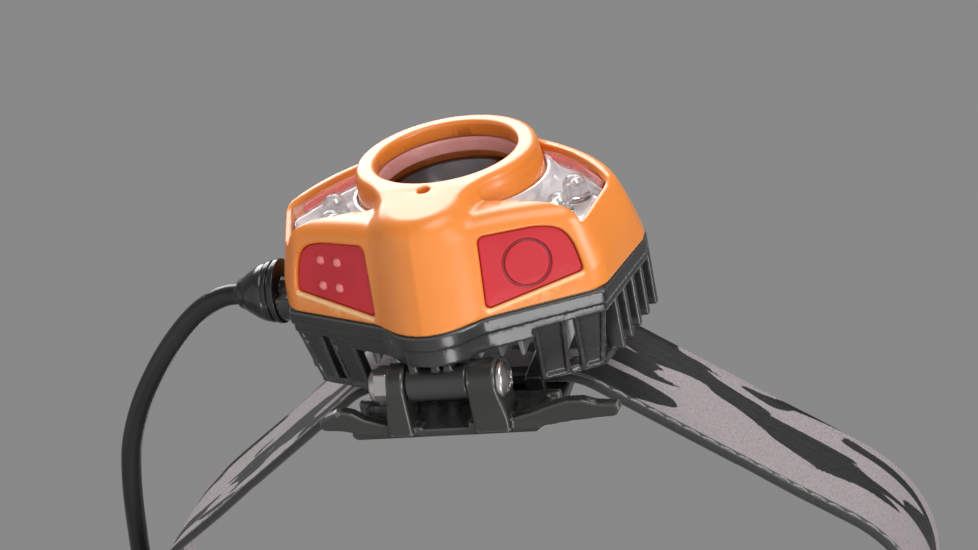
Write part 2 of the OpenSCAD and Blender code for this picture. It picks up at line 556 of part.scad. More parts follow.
module contact_springs() color([0.85, 0.85, 0.85]) for (i = [0 : 3])
    translate([(i - 1.5) * cell_pitch, cell_y, cell_bottom + cell_len]) difference() {
        cylinder(r1 = 3, r2 = 5, h = 7.3);
        translate([0, 0, -0.1]) cylinder(r1 = 2.3, r2 = 4.3, h = 7.5);
    }
module pack_gland() color([0.08, 0.08, 0.08]) translate(pack_gland_at) rotate([0, -90, 0]) difference() {
    union() {
        translate([0, 0, -2]) cylinder(r = 3, h = 2.2);
        cylinder(r = 5, h = 2);
    }
    translate([0, 0, -4]) cylinder(r = 2.3, h = 10);
}
module pack_boot() color([0.08, 0.08, 0.08]) translate(pack_gland_at) rotate([0, -90, 0]) difference() {
    translate([0, 0, 2]) cylinder(r1 = 4.4, r2 = 3, h = 6.6);
    translate([0, 0, 7]) cylinder(r = 1.2, h = 3);
}

on_lamp() front_shell();
on_lamp() housing_seal();
on_lamp() rear_housing();
on_lamp() heat_sink();
on_lamp() main_lens();
on_lamp() lens_gasket();
on_lamp() main_reflector();
on_lamp() main_emitter();
on_lamp() emitter_board();
on_lamp() circuit_board();
on_lamp() window(-1);  // window_left
on_lamp() window(1);  // window_right
on_lamp() window_gasket(-1);  // window_gasket_left
on_lamp() window_gasket(1);  // window_gasket_right
on_lamp() side_reflector(-1);  // side_reflector_left
on_lamp() side_reflector(1);  // side_reflector_right
on_lamp() side_leds(-1);  // side_leds_left
on_lamp() side_leds(1);  // side_leds_right
on_lamp() indicator_led();
on_lamp() switch_unit(-1);  // switch_left
on_lamp() switch_unit(1);  // switch_right
on_lamp() housing_screws();
on_lamp() board_screws();
on_lamp() gland_nut();
on_lamp() cable_boot();
on_lamp() button(-1);  // button_left
on_lamp() button(1);  // button_right
on_lamp() bracket();
on_lamp() hinge_bolt();
on_lamp() hinge_nut();
on_lamp() forehead_pad();
power_cable();
cable_clips();
strap_front();
mirror([1, 0, 0]) strap_side();  // strap_left
strap_side();  // strap_right
strap_rear();
mirror([1, 0, 0]) adjuster();  // adjuster_left
adjuster();  // adjuster_right
pack_case();
pack_seal();
cell(0);  // cell_1
cell(1);  // cell_2
cell(2);  // cell_3
cell(3);  // cell_4
contact_plates();
contact_springs();
pack_gland();
pack_boot();
pack_door();
door_pin();
door_screw();
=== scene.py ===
"""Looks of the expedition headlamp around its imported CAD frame.

The scene is in metres: +Z is the wearer's up and the lamp faces -Y. The lamp head is shaped in its
own frame in millimetres, as the part's source is: +Z is the lens axis, +Y the wearer's up, and the
origin the centre of the lens ring's front rim. Shells are made as fields, negative inside, and
meshed by surface nets.
"""
import math

import bmesh
import bpy
import numpy as np
from mathutils import Matrix, Vector
from numpy.linalg import norm


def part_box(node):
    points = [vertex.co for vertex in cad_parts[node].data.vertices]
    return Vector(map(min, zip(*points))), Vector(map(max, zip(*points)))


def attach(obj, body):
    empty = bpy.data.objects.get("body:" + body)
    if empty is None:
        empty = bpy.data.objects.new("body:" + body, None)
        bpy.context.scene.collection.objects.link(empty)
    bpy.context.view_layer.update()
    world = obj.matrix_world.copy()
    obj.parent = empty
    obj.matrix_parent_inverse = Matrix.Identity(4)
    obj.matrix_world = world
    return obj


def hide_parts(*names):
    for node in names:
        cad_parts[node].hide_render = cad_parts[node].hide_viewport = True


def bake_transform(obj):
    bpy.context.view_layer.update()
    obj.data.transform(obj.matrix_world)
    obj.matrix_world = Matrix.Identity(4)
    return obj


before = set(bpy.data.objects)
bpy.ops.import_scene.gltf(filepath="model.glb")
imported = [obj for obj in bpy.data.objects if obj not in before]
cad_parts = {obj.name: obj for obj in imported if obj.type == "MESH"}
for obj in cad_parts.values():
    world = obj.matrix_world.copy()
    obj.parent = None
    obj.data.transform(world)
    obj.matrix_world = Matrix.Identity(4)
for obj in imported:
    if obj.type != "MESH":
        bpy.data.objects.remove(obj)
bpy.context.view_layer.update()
MM = 0.001
SIDES = ((-1, "left"), (1, "right"))
least, most = np.minimum, np.maximum

# ---- places, read from the frame ----
lens_low, lens_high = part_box("main_lens")
LAMP_ORIGIN = np.array([(lens_low.x + lens_high.x) / 2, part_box("front_shell")[0].y,
                        (lens_low.z + lens_high.z) / 2])
bolt_low, bolt_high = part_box("hinge_bolt")
PIVOT_Y = (bolt_low.z + bolt_high.z) / 2 / MM - LAMP_ORIGIN[2] / MM
PIVOT_Z = -((bolt_low.y + bolt_high.y) / 2 - LAMP_ORIGIN[1]) / MM


def worn(points):
    """Points of the lamp's own frame, in millimetres, as points of the scene."""
    p = np.asarray(points, float)
    return np.stack([p[..., 0], -p[..., 2], p[..., 1]], -1) * MM + LAMP_ORIGIN


def metres(points):
    return np.asarray(points, float) * MM


# ---- camera ----
CAMERA_AT = (0.13305, -0.31057, -0.39523)
CAMERA_RIGHT = Vector((0.95783, 0.18781, 0.21745))
CAMERA_UP = Vector((0.06808, -0.88360, 0.46328))


def add_camera():
    data = bpy.data.cameras.new("camera")
    data.lens = 81
    data.sensor_width = 36
    data.clip_start, data.clip_end = 0.01, 20
    camera = bpy.data.objects.new("camera", data)
    axes = (CAMERA_RIGHT, CAMERA_UP, CAMERA_RIGHT.cross(CAMERA_UP))
    camera.matrix_world = Matrix.Translation(CAMERA_AT) @ Matrix(axes).transposed().to_4x4()
    bpy.context.scene.collection.objects.link(camera)
    bpy.context.scene.camera = camera


add_camera()


# ---- materials ----
class Look:
    """A Principled material under construction, with a few shorthands for its nodes."""

    def __init__(self, name, **values):
        self.material = bpy.data.materials.new(name)
        self.material.use_nodes = True
        self.tree = self.material.node_tree
        self.shader = self.tree.nodes["Principled BSDF"]
        self.space = self.tree.nodes.new("ShaderNodeTexCoord").outputs["Object"]
        for key, value in values.items():
            self.put(key.replace("_", " "), value)

    def put(self, socket, value):
        target = self.shader.inputs[socket]
        if isinstance(value, bpy.types.NodeSocket):
            self.tree.links.new(value, target)
        else:
            colour = target.type == "RGBA" and len(value) == 3
            target.default_value = (*value, 1) if colour else value

    def node(self, kind, inputs=(), **settings):
        made = self.tree.nodes.new("ShaderNode" + kind)
        for key, value in settings.items():
            setattr(made, key, value)
        for key, value in dict(inputs).items():
            if isinstance(value, bpy.types.NodeSocket):
                self.tree.links.new(value, made.inputs[key])
            else:
                made.inputs[key].default_value = value
        return made

    def scaled(self, x, y, z):
        """Object coordinates stretched by a factor along each axis."""
        return self.node("Mapping", {"Vector": self.space, "Scale": (x, y, z)}).outputs[0]

    def noise(self, scale, detail, space=None):
        return self.node("TexNoise", {"Vector": space or self.space, "Scale": scale, "Detail": detail,
                                      "Roughness": 0.55}).outputs["Fac"]

    def ramp(self, value, *stops):
        """Colour or grey ramp: stops are (position, colour or grey)."""
        made = self.node("ValToRGB", {"Fac": value})
        elements = made.color_ramp.elements
        while len(elements) < len(stops):
            elements.new(0.5)
        for element, (position, colour) in zip(elements, stops):
            element.position = position
            element.color = (*colour, 1) if isinstance(colour, tuple) else (colour, colour, colour, 1)
        return made.outputs["Color"]

    def math(self, operation, a, b, c=0.5):
        return self.node("Math", {0: a, 1: b, 2: c}, operation=operation).outputs[0]

    def mix(self, factor, a, b):
        made = self.node("Mix", data_type="RGBA")
        for socket, value in (("Factor", factor), ("A", a), ("B", b)):
            found = [s for s in made.inputs if s.name == socket and s.enabled][0]
            if isinstance(value, bpy.types.NodeSocket):
                self.tree.links.new(value, found)
            else:
                found.default_value = (*value, 1) if isinstance(value, tuple) else value
        return [s for s in made.outputs if s.enabled][0]

    def bump(self, height, strength, distance):
        made = self.node("Bump", {"Height": height, "Strength": strength, "Distance": distance})
        self.tree.links.new(made.outputs[0], self.shader.inputs["Normal"])

    def drift(self, noise, dark, light, low=0.3, high=0.7):
        """Colour that wanders between two, by a noise of (scale, detail)."""
        return self.ramp(self.noise(*noise), (low, dark), (high, light))

    def tint(self, *drift):
        self.put("Base Color", self.drift(*drift))

    def rough(self, noise, spread, start):
        self.put("Roughness", self.math("MULTIPLY_ADD", self.noise(*noise), spread, start))


def moulded(name, dark, light, roughness, grain, grain_scale=2600, edge=None, **values):
    """Moulded plastic: soft colour drift, fine spark-eroded grain, convex edges painted paler, partly rubbing
    wear and partly a painted edge highlight.
    A colour given as one number is a grey."""
    dark, light = ((c, c, c) if isinstance(c, float) else c for c in (dark, light))
    look = Look(name, **values)
    drift = look.drift((55, 4), dark, light)
    # convex edges painted paler: a painted edge highlight, with some rubbing wear
    edge_highlight_and_wear = look.ramp(look.node("NewGeometry").outputs["Pointiness"], (0.52, 0.0), (0.58, 1.0))
    edge = edge or tuple(min(1.0, 1.35 * c + 0.02) for c in light)
    look.put("Base Color", look.mix(look.math("MULTIPLY", edge_highlight_and_wear, 0.7), drift, edge))
    look.rough((140, 5), 0.16, roughness - 0.08)
    look.bump(look.noise(grain_scale, 2), grain, 0.00008)
    return look.material


def metal(name, colour, roughness, brush, strength=0.12, metallic=1.0):
    """Machined or plated metal with fine tool marks and a little handling wear."""
    look = Look(name, Metallic=metallic)
    look.tint((120, 4), tuple(0.82 * c for c in colour), colour)
    look.rough((300, 4), 0.25, roughness - 0.1)
    look.bump(look.noise(1.0, 3, look.scaled(*brush)), strength, 0.00006)
    return look.material


def rubber(name, drift, wear, radius=None, grain=None, **values):
    """Rubber or soft plastic. drift and wear are what Look.tint and Look.rough take."""
    look = Look(name, **values)
    if radius:
        look.put("Subsurface Radius", radius)
    look.tint(*drift)
    look.rough(*wear)
    if grain:
        look.bump(look.noise(grain, 2), 0.14, 0.00006)
    return look.material


def resin(name, drift, through, roughness):
    """Solid clear resin, as the body of a small LED."""
    look = Look(name, Transmission_Weight=through, IOR=1.5)
    look.tint((240, 3), *drift)
    look.rough((400, 3), 0.05, roughness)
    return look.material


def thread(name, dark, light):
    look = Look(name, Sheen_Weight=0.3, Sheen_Roughness=0.5)
    look.tint((2200, 3), dark, light, 0.35, 0.65)
    look.rough((900, 3), 0.2, 0.6)
    look.bump(look.noise(2600, 3), 0.5, 0.0001)
    return look.material


def orange_look():
    """The shell's plastic, with a painted highlight on the lower lip of each button pocket, by the "lip"
    attribute.
    """
    look = Look("shell_orange", Subsurface_Weight=0.12, Subsurface_Scale=0.004, IOR=1.5,
                Coat_Weight=0.25, Coat_Roughness=0.22)
    look.put("Subsurface Radius", (1.0, 0.35, 0.1))
    drift = look.drift((38, 3), (0.76, 0.220, 0.026), (0.82, 0.250, 0.034))
    lip = look.node("Attribute", attribute_name="lip").outputs["Fac"]
    # pale cream mixed in by the "lip" attribute: a painted highlight on the pocket lips
    look.put("Base Color", look.mix(lip, drift, (0.95, 0.64, 0.34)))
    look.rough((160, 5), 0.12, 0.30)
    look.bump(look.noise(2400, 2), 0.10, 0.00006)
    return look.material


def clear_look():
    """Thin clear plastic: mostly see-through, with a share of mirror and faint hazing."""
    look = Look("clear_lens", Metallic=1.0, Alpha=0.016)
    tint = (0.95, 0.96, 0.98)
    look.tint((90, 3), tint, tuple(0.97 * c for c in tint), 0.3, 0.8)
    look.rough((220, 4), 0.05, 0.03)
    return look.material


def circuit_look():
    look = Look("board_green", Coat_Weight=0.4, Coat_Roughness=0.15)
    colours = {"Color1": (0.01, 0.12, 0.035, 1), "Color2": (0.012, 0.14, 0.04, 1),
               "Mortar": (0.03, 0.26, 0.08, 1)}
    traces = look.node("TexBrick", {"Vector": look.scaled(420, 420, 420), "Scale": 1.0,
                                    "Mortar Size": 0.03, **colours})
    look.put("Base Color", traces.outputs["Color"])
    look.rough((200, 3), 0.15, 0.28)
    return look.material


def emitter_look():
    look = Look("emitter_yellow", Coat_Weight=0.6, Coat_Roughness=0.06)
    look.tint((900, 3), (0.78, 0.58, 0.06), (0.92, 0.76, 0.16), 0.35, 0.65)
    look.rough((700, 3), 0.2, 0.25)
    return look.material


def elastic_look():
    """Knitted elastic: pale flame streaks on charcoal, with a fine rib across."""
    look = Look("strap_elastic", Sheen_Weight=0.04, Sheen_Roughness=0.45, Specular_IOR_Level=0.2)
    band = look.node("Attribute", attribute_name="band").outputs["Vector"]
    slanted = look.node("Mapping", {"Vector": band, "Rotation": (0, 0, 0.17), "Scale": (30, 1.9, 0)})
    wander = look.node("TexNoise", {"Vector": slanted.outputs[0], "Scale": 1.0, "Detail": 1.0,
                                    "Roughness": 0.35, "Distortion": 1.0}).outputs["Fac"]
    streak = look.math("MULTIPLY_ADD", look.noise(1500, 3), 0.035, wander)
    pale = look.ramp(streak, (0.478, 0.0), (0.489, 1.0))
    knit = look.noise(2300, 3)
    charcoal = look.ramp(knit, (0.3, (0.006, 0.0055, 0.006)), (0.75, (0.024, 0.022, 0.023)))
    silver = look.ramp(knit, (0.3, (0.24, 0.21, 0.215)), (0.75, (0.38, 0.34, 0.35)))
    look.put("Base Color", look.mix(pale, charcoal, silver))
    look.put("Roughness", look.math("MULTIPLY_ADD", knit, 0.15, 0.62))
    rows = look.node("TexWave", {"Vector": band, "Scale": 1200.0, "Distortion": 1.2, "Detail": 2.0},
                     wave_type="BANDS", bands_direction="X").outputs["Fac"]
    loops = look.node("TexVoronoi", {"Vector": look.scaled(1, 1, 1), "Scale": 1500.0})
    height = look.math("ADD", look.math("MULTIPLY", rows, 0.4), loops.outputs["Distance"])
    look.bump(look.math("ADD", height, look.math("MULTIPLY", knit, 0.8)), 0.55, 0.00022)
    return look.material


def cell_look():
    """Shrink-wrapped cell: plain sleeve in two tones."""
    look = Look("cell_silver", Coat_Weight=0.5, Coat_Roughness=0.12, Metallic=0.6)
    split = look.node("SeparateXYZ", {"Vector": look.space}).outputs["Z"]
    look.put("Base Color", look.ramp(look.math("MULTIPLY_ADD", split, 12.0, 0.5),
                                     (0.68, (0.33, 0.35, 0.37)), (0.69, (0.05, 0.09, 0.16))))
    look.rough((300, 3), 0.1, 0.25)
    return look.material


MATERIALS = {
    "orange": orange_look(),
    "red": rubber("button_red", ((60, 3), (0.50, 0.012, 0.022), (0.58, 0.018, 0.030)),
                  ((200, 4), 0.14, 0.34), (1.0, 0.15, 0.12), 3000,
                  Subsurface_Weight=0.15, Subsurface_Scale=0.003, IOR=1.45),
    "gasket": rubber("gasket_red", ((120, 3), (0.74, 0.045, 0.018), (0.82, 0.075, 0.03)),
                     ((260, 4), 0.12, 0.22), IOR=1.42),
    "pink": rubber("gasket_pink", ((120, 3), (0.62, 0.27, 0.25), (0.70, 0.34, 0.32)),
                   ((260, 4), 0.12, 0.2), Subsurface_Weight=0.2, Subsurface_Scale=0.002, IOR=1.42),
    "black": moulded("gloss_black", 0.008, 0.014, 0.2, 0.06),
    "seal": moulded("seal_black", 0.006, 0.010, 0.5, 0.1),
    # the edge colours of housing and bracket are a painted edge highlight on their convex edges
    "housing": moulded("housing_grey", (0.018, 0.0175, 0.017), (0.026, 0.025, 0.0245), 0.28, 0.08,
                       edge=(0.11, 0.108, 0.104), Coat_Weight=0.3, Coat_Roughness=0.14),
    "bracket": moulded("bracket_grey", (0.014, 0.0145, 0.013), (0.020, 0.0205, 0.019), 0.28, 0.1,
                       edge=(0.15, 0.152, 0.144), Coat_Weight=0.3, Coat_Roughness=0.15),
    "pack": moulded("pack_black", 0.018, 0.028, 0.42, 0.3, 1500),
    "clip": moulded("clip_black", 0.014, 0.022, 0.38, 0.2),
    "cable": moulded("cable_black", (0.008, 0.008, 0.009), (0.014, 0.014, 0.015), 0.3, 0.02, 900,
                     Specular_IOR_Level=0.35),
    "switch": moulded("switch_grey", (0.03, 0.03, 0.032), (0.045, 0.045, 0.048), 0.4, 0.1),
    "tray": moulded("reflector_white", (0.84, 0.82, 0.84), (0.90, 0.88, 0.90), 0.2, 0.05, Metallic=0.5),
    "foam": moulded("pad_foam", (0.016, 0.016, 0.018), (0.030, 0.030, 0.033), 0.85, 0.9, 1400),
    "board_white": moulded("board_white", (0.72, 0.73, 0.72), (0.8, 0.8, 0.79), 0.35, 0.05),
    "board_green": circuit_look(),
    # darker red painted into the ring groove of the right button: painted shade
    "groove_shade": moulded("groove_shade_red", (0.20, 0.006, 0.010), (0.26, 0.008, 0.014), 0.4, 0.05),
    # paler pink painted on the left button's bumps: a painted highlight
    "bump": moulded("bump_highlight_pink", (0.70, 0.17, 0.18), (0.78, 0.22, 0.22), 0.3, 0.05),
    "aluminium": metal("fin_aluminium", (0.95, 0.94, 0.95), 0.5, (2500, 160, 160), metallic=0.2),
    "steel": metal("screw_steel", (0.50, 0.49, 0.48), 0.28, (1200, 1200, 1200)),
    "nickel": metal("contact_nickel", (0.80, 0.79, 0.76), 0.2, (300, 2000, 2000)),
    # the main reflector's chrome is painted dark: a painted dark reflection
    "dark_reflection": metal("reflector_dark_reflection", (0.16, 0.15, 0.16), 0.16, (600, 600, 600), 0.05),
    "lens": clear_look(),
    "led": resin("led_clear", ((0.55, 0.52, 0.53), (0.72, 0.69, 0.70)), 0.9, 0.03),
    "indicator": resin("led_red", ((0.70, 0.08, 0.06), (0.80, 0.12, 0.09)), 0.3, 0.1),
    "emitter": emitter_look(),
    "elastic": elastic_look(),
    "selvedge": thread("selvedge_black", (0.006, 0.006, 0.007), (0.018, 0.018, 0.019)),
    "stitch": thread("stitch_grey", (0.20, 0.19, 0.19), (0.34, 0.32, 0.32)),
    "cell": cell_look(),
}


# ---- mesh tools ----
def add_mesh(name, points, faces, material, smooth=True):
    mesh = bpy.data.meshes.new(name)
    mesh.from_pydata(np.asarray(points, float).tolist(), [], [list(map(int, f)) for f in faces])
    mesh.validate()
    work = bmesh.new()
    work.from_mesh(mesh)
    bmesh.ops.recalc_face_normals(work, faces=work.faces)
    work.to_mesh(mesh)
    work.free()
    mesh.materials.append(MATERIALS[material])
    if smooth:
        mesh.shade_smooth()
    made = bpy.data.objects.new(name, mesh)
    bpy.context.scene.collection.objects.link(made)
    return made


def apply_modifiers(piece):
    graph = bpy.context.evaluated_depsgraph_get()
    done = bpy.data.meshes.new_from_object(piece.evaluated_get(graph))
    piece.modifiers.clear()
    piece.data = done


def thin_out(piece, keep):
    """Collapses the triangles that flat stretches don't need."""
    modifier = piece.modifiers.new("thin", "DECIMATE")
    modifier.ratio = keep
    apply_modifiers(piece)
    piece.data.shade_smooth()


CORNERS = [(i, j, k) for i in (0, 1) for j in (0, 1) for k in (0, 1)]
CELL_EDGES = [(a, b) for a in range(8) for b in range(a + 1, 8) if bin(a ^ b).count("1") == 1]


def surface_nets(field, low, high, step):
    """Points and quads of the surface where field is 0, between two corners."""
    axes = [np.arange(a, b + step, step) for a, b in zip(low, high)]
    grid = np.stack(np.meshgrid(*axes, indexing="ij"), -1).astype(np.float32)
    value = field(grid)
    inside = value < 0
    nx, ny, nz = value.shape
    count = sum(inside[i:nx - 1 + i, j:ny - 1 + j, k:nz - 1 + k].astype(np.int8) for i, j, k in CORNERS)
    cells = np.argwhere((count > 0) & (count < 8))
    at_corner = np.stack([value[tuple((cells + c).T)] for c in CORNERS], 1).astype(float)
    total, hits = np.zeros((len(cells), 3)), np.zeros(len(cells))
    for a, b in CELL_EDGES:
        va, vb = at_corner[:, a], at_corner[:, b]
        crossed = (va < 0) != (vb < 0)
        share = np.where(crossed, va / np.where(crossed, va - vb, 1), 0)
        start, run = np.array(CORNERS[a]), np.array(CORNERS[b]) - np.array(CORNERS[a])
        total += np.where(crossed[:, None], start + share[:, None] * run, 0)
        hits += crossed
    points = np.array(low) + (cells + total / hits[:, None]) * step
    index = np.full(value.shape, -1, np.int32)
    index[tuple(cells.T)] = np.arange(len(cells))
    quads = []
    for axis in range(3):
        u, v = np.eye(3, dtype=int)[(axis + 1) % 3], np.eye(3, dtype=int)[(axis + 2) % 3]
        first = inside.take(range(value.shape[axis] - 1), axis)
        second = inside.take(range(1, value.shape[axis]), axis)
        at = np.argwhere(first != second)
        at = at[((at @ u) > 0) & ((at @ v) > 0)]
        quad = np.stack([index[tuple(c.T)] for c in (at, at - u, at - u - v, at - v)], 1)
        back = ~inside[tuple(at.T)]
        quad[back] = quad[back][:, ::-1]
        quads.append(quad)
    return points, np.concatenate(quads)


def settle(field, points, step, rounds=3, h=0.02):
    """Moves points onto the surface along the field's slope, never further than a cell at a time."""
    for _ in range(rounds):
        value = field(points)
        slope = np.stack([(field(points + h * e) - field(points - h * e)) / (2 * h) for e in np.eye(3)], -1)
        move = value[:, None] * slope / most((slope ** 2).sum(-1), 0.3)[:, None]
        size = norm(move, axis=1, keepdims=True)
        points = points - move * least(1, step / most(size, 1e-9))
    return points


def relax(points, quads):
    """Each point moves to the middle of the quads around it."""
    middle = points[quads].mean(1)
    total, hits = np.zeros_like(points), np.zeros(len(points))
    for corner in range(4):
        for axis in range(3):
            total[:, axis] += np.bincount(quads[:, corner], middle[:, axis], len(points))
        hits += np.bincount(quads[:, corner], minlength=len(points))
    return np.where(hits[:, None] > 0, total / most(hits, 1)[:, None], points)


def solid(name, field, low, high, step, material, keep=1.0, place=worn):
    """A piece of the object, from its field in millimetres."""
    points, quads = surface_nets(field, low, high, step)
    points = settle(field, points, step, 2)
    points = settle(field, relax(points, quads), step, 3)
    made = add_mesh(name, place(points), quads, material)
    if keep < 1:
        thin_out(made, keep)
    return made


def moulding(name, field, low, high, material, keep):
    return solid(name, field, low, high, 0.36, material, keep)


def stand_for(piece, body, slot, *nodes):
    """The piece rides on a body and is shown in place of CAD nodes."""
    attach(piece, body)
    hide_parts(*nodes)


def join_meshes(name, parts, material, smooth=True):
    """One mesh piece from several (points, faces) parts."""
    points, faces, shift = [], [], 0
    for p, f in parts:
        points.append(np.asarray(p, float))
        faces += [[i + shift for i in face] for face in f]
        shift += len(p)
    made = add_mesh(name, np.concatenate(points), faces, material, smooth)
    if smooth:
        made.data.set_sharp_from_angle(angle=math.radians(42))
    return made


def loft_faces(rings, n):
    """Faces between rings of n points each, with both ends closed."""
    faces = [(i * n + k, i * n + (k + 1) % n, (i + 1) * n + (k + 1) % n, (i + 1) * n + k)
             for i in range(rings - 1) for k in range(n)]
    return faces + [tuple(range(n))[::-1], tuple(range((rings - 1) * n, rings * n))]


# ---- fields ----
def split(p):
    return p[..., 0], p[..., 1], p[..., 2]


def rmax(a, b, r):
    """The greater of two fields, with the outside edge between them rounded to radius r."""
    return least(-r, most(a, b)) + np.hypot(most(a + r, 0), most(b + r, 0))


def rmin(a, b, r):
    """The lesser of two fields, with a fillet of radius r in the corner between them."""
    return -rmax(-a, -b, r)


def ease(value, start, end):
    t = np.clip((value - start) / (end - start), 0, 1)
    return t * t * (3 - 2 * t)


def plane(p, normal, offset):
    return p[..., 0] * normal[0] + p[..., 1] * normal[1] + p[..., 2] * normal[2] - offset


def wall_plane(a, b, z0, c, d, z1):
    """Normal and offset of the plane through the edge a-b at height z0, leaning to c-d at z1."""
    a, b, c, d = (np.array(v, float) for v in (a, b, c, d))
    along = np.append(b - a + d - c, 0)
    rise = np.append((c + d - a - b) / 2, z1 - z0)
    normal = np.cross(along, rise)
    normal /= norm(normal)
    return normal, float(normal @ np.append((a + b + c + d) / 4, (z0 + z1) / 2))


def plane_through(a, b, c):
    a, b, c = (np.array(v, float) for v in (a, b, c))
    normal = np.cross(b - a, c - a)
    normal /= norm(normal)
    return normal, float(normal @ a)


def edge_line(p, a, b):
    """Distance to the right of the line a-b in plan, so negative on its left."""
    run = np.array(b, float) - np.array(a, float)
    run /= norm(run)
    return (p[..., 0] - a[0]) * run[1] - (p[..., 1] - a[1]) * run[0]


def box(p, low, high, r=0.0):
    """Rounded box between two corners."""
    middle, half = (np.array(low) + np.array(high)) / 2, (np.array(high) - np.array(low)) / 2
    q = np.abs(p - middle.astype(p.dtype)) - (half - r).astype(p.dtype)
    return norm(most(q, 0), axis=-1) + least(q.max(-1), 0) - r


def side_of(p):
    """The point mirrored to the lamp's right-hand side."""
    return np.concatenate([np.abs(p[..., :1]), p[..., 1:]], -1)


# Right half of the shell's outline, front middle to far middle, at its rear edge, its crease and
# its shoulder, with the height of each
REAR = [(10.3, -31.7), (33.6, -21.7), (38.6, 1.6), (36.5, 8.5), (31, 14), (22, 19.5), (10, 23)]
CREASE = [(10, -30.2), (33.2, -20.3), (38.2, -1), (36.6, 6), (31, 11.5), (22, 17.5), (10, 21.5)]
SHOULDER = [(10, -28.6), (30.4, -19.8), (35.2, -3.2), (32.9, 1.5), (29, 7.5), (22, 13), (12, 18)]
REAR_Z, CREASE_Z, SHOULDER_Z = -23.0, -14.0, -5.0
END_FACET = [(35.2, -3.2, -5), (33.3, -19.6, -16.7), (38.2, -1, -14)]
WALL = 1.8
CABLE_HOLE, BORE_R, BOLT_HOLE = 3.15, 2.05, 2.0
RING_R, RING_OUTER, RING_FOOT, RING_FOOT_Z = 15.0, 19.1, 19.8, -9.0
SEAT_R, SEAT_Z = 16.2, -3.6
INDICATOR_Y = -18.6
FACE_ANGLE = math.atan2(10, 23.3)
FACE_DRAFT = math.radians(10)
FACE_AT = np.array([21.5, -25.6, -14.0])
FACE_X = np.array([math.cos(FACE_ANGLE), math.sin(FACE_ANGLE), 0.0])
FACE_Z = np.array([math.sin(FACE_ANGLE) * math.cos(FACE_DRAFT),
                   -math.cos(FACE_ANGLE) * math.cos(FACE_DRAFT), math.sin(FACE_DRAFT)])
FACE_Y = np.cross(FACE_Z, FACE_X)
BUTTON = [(-11, -7.6), (9.3, -4.6), (9.2, 2.2), (8, 4.6), (5.5, 6.2), (-9.7, 7)]
BUTTON_ROUNDING = [0.8, 0.8, 3.0, 3.0, 2.5, 1.2]
RECESS = 1.1
BUMPS = [(u, v) for u in (-2.2, 2.2) for v in (-2.7, 2.7)]
CIRCLE, CIRCLE_R = (-1.2, -0.4), 4.7


def shell_walls(p):
    """The walls behind the front face, joined with their own roundings."""
    made = None
    for i, r in zip(range(1, 6), (None, 1.2, 4.0, 5.0, 5.0)):
        rear, crease, shoulder = REAR[i:i + 2], CREASE[i:i + 2], SHOULDER[i:i + 2]
        low = plane(p, *wall_plane(*rear, REAR_Z, *crease, CREASE_Z))
        if i == 1:
            wall = rmax(low, plane(p, *plane_through(*END_FACET)), 0.4)
        else:
            wall = rmax(low, plane(p, *wall_plane(*crease, CREASE_Z, *shoulder, SHOULDER_Z)), 5.0)
        made = wall if made is None else rmax(made, wall, r)
    middle = plane(p, *wall_plane((10, 23), (-10, 23), REAR_Z, (12, 18), (-12, 18), SHOULDER_Z))
    return rmax(made, middle, 4.0)


def deck_height(p):
    x, y = p[..., 0], p[..., 1]
    return -3.6 - 0.03 * (y + 20) - 0.0045 * most(np.abs(x) - 10, 0) ** 2


def shell_block(p):
    """The faceted block, without nose and ring. p is on the right-hand side."""
    front = plane(p, *wall_plane(REAR[0], REAR[1], REAR_Z, SHOULDER[0], SHOULDER[1], SHOULDER_Z))
    walls = rmax(shell_walls(p), front, 2.4)
    roll = (1.7 + 1.9 * ease(-p[..., 1], 6, 18)).astype(p.dtype)
    return rmax(walls, (p[..., 2] - deck_height(p)) * 0.98, roll)


def stem_side(p):
    """Side of the ring and of the nose that leans out of it, merged by wide fillets."""
    x, y, z = split(p)
    lean = (z - REAR_Z) / 21
    middle, radius = -26.7 + 3.5 * lean, 10.8 - 1.6 * lean
    nose = np.hypot(x, least(y - middle, 0)) - radius
    nose = most(nose, y + 4)
    down = np.clip(z / RING_FOOT_Z, 0, 1)
    ring = (np.hypot(x, y) - RING_OUTER - (RING_FOOT - RING_OUTER) * down) * 0.95
    return rmin(ring, nose * 0.98, 4.5)


def stem(p):
    y, z = p[..., 1], p[..., 2]
    top = z - 0.1 * (least(y, -17.5) + 17.5)
    roll = (1.5 + 1.3 * ease(-y, 17, 26)).astype(p.dtype)
    return rmax(stem_side(p), top, roll)


WINDOW_NEAR = [(12.0, -17.9), (31.6, -19.4)]
WINDOW_FAR = [(31.3, -19.6), (35.1, -5.4), (29.5, 2.8), (24.2, 8.0), (18.3, 11.4), (12.0, 13.6)]
WINDOW_END = [(31.6, -19.4, -9.4), (35.1, -5.4, -7.2)]
WINDOW_DEPTH = -11.6
COVER_SINK = 0.7


def window_plan(p, end=None):
    """Window opening in plan. p is on the right-hand side."""
    end = edge_line(p, *WINDOW_FAR[:2]) if end is None else end
    made = rmax(edge_line(p, *WINDOW_NEAR), end, 0.7)
    for a, b, r in zip(WINDOW_FAR[1:], WINDOW_FAR[2:], (1.6, 4.0, 4.0, 4.0)):
        made = rmax(made, edge_line(p, a, b), r)
    return rmax(made, -stem_side(p), 0.9)


def window_opening(p):
    """The same opening where it breaks the skin: its outer end is cut square to the end facet."""
    a, b = np.array(WINDOW_END)
    normal, offset = plane_through(a, a + plane_through(*END_FACET)[0], b)
    turn = -math.copysign(1, normal[2])
    return window_plan(p, plane(p, normal * turn, offset * turn))


def face_point(p):
    """Coordinates on a button face, for a point on the right-hand side."""
    q = p - FACE_AT.astype(p.dtype)
    return q @ FACE_X.astype(p.dtype), q @ FACE_Y.astype(p.dtype), q @ FACE_Z.astype(p.dtype)


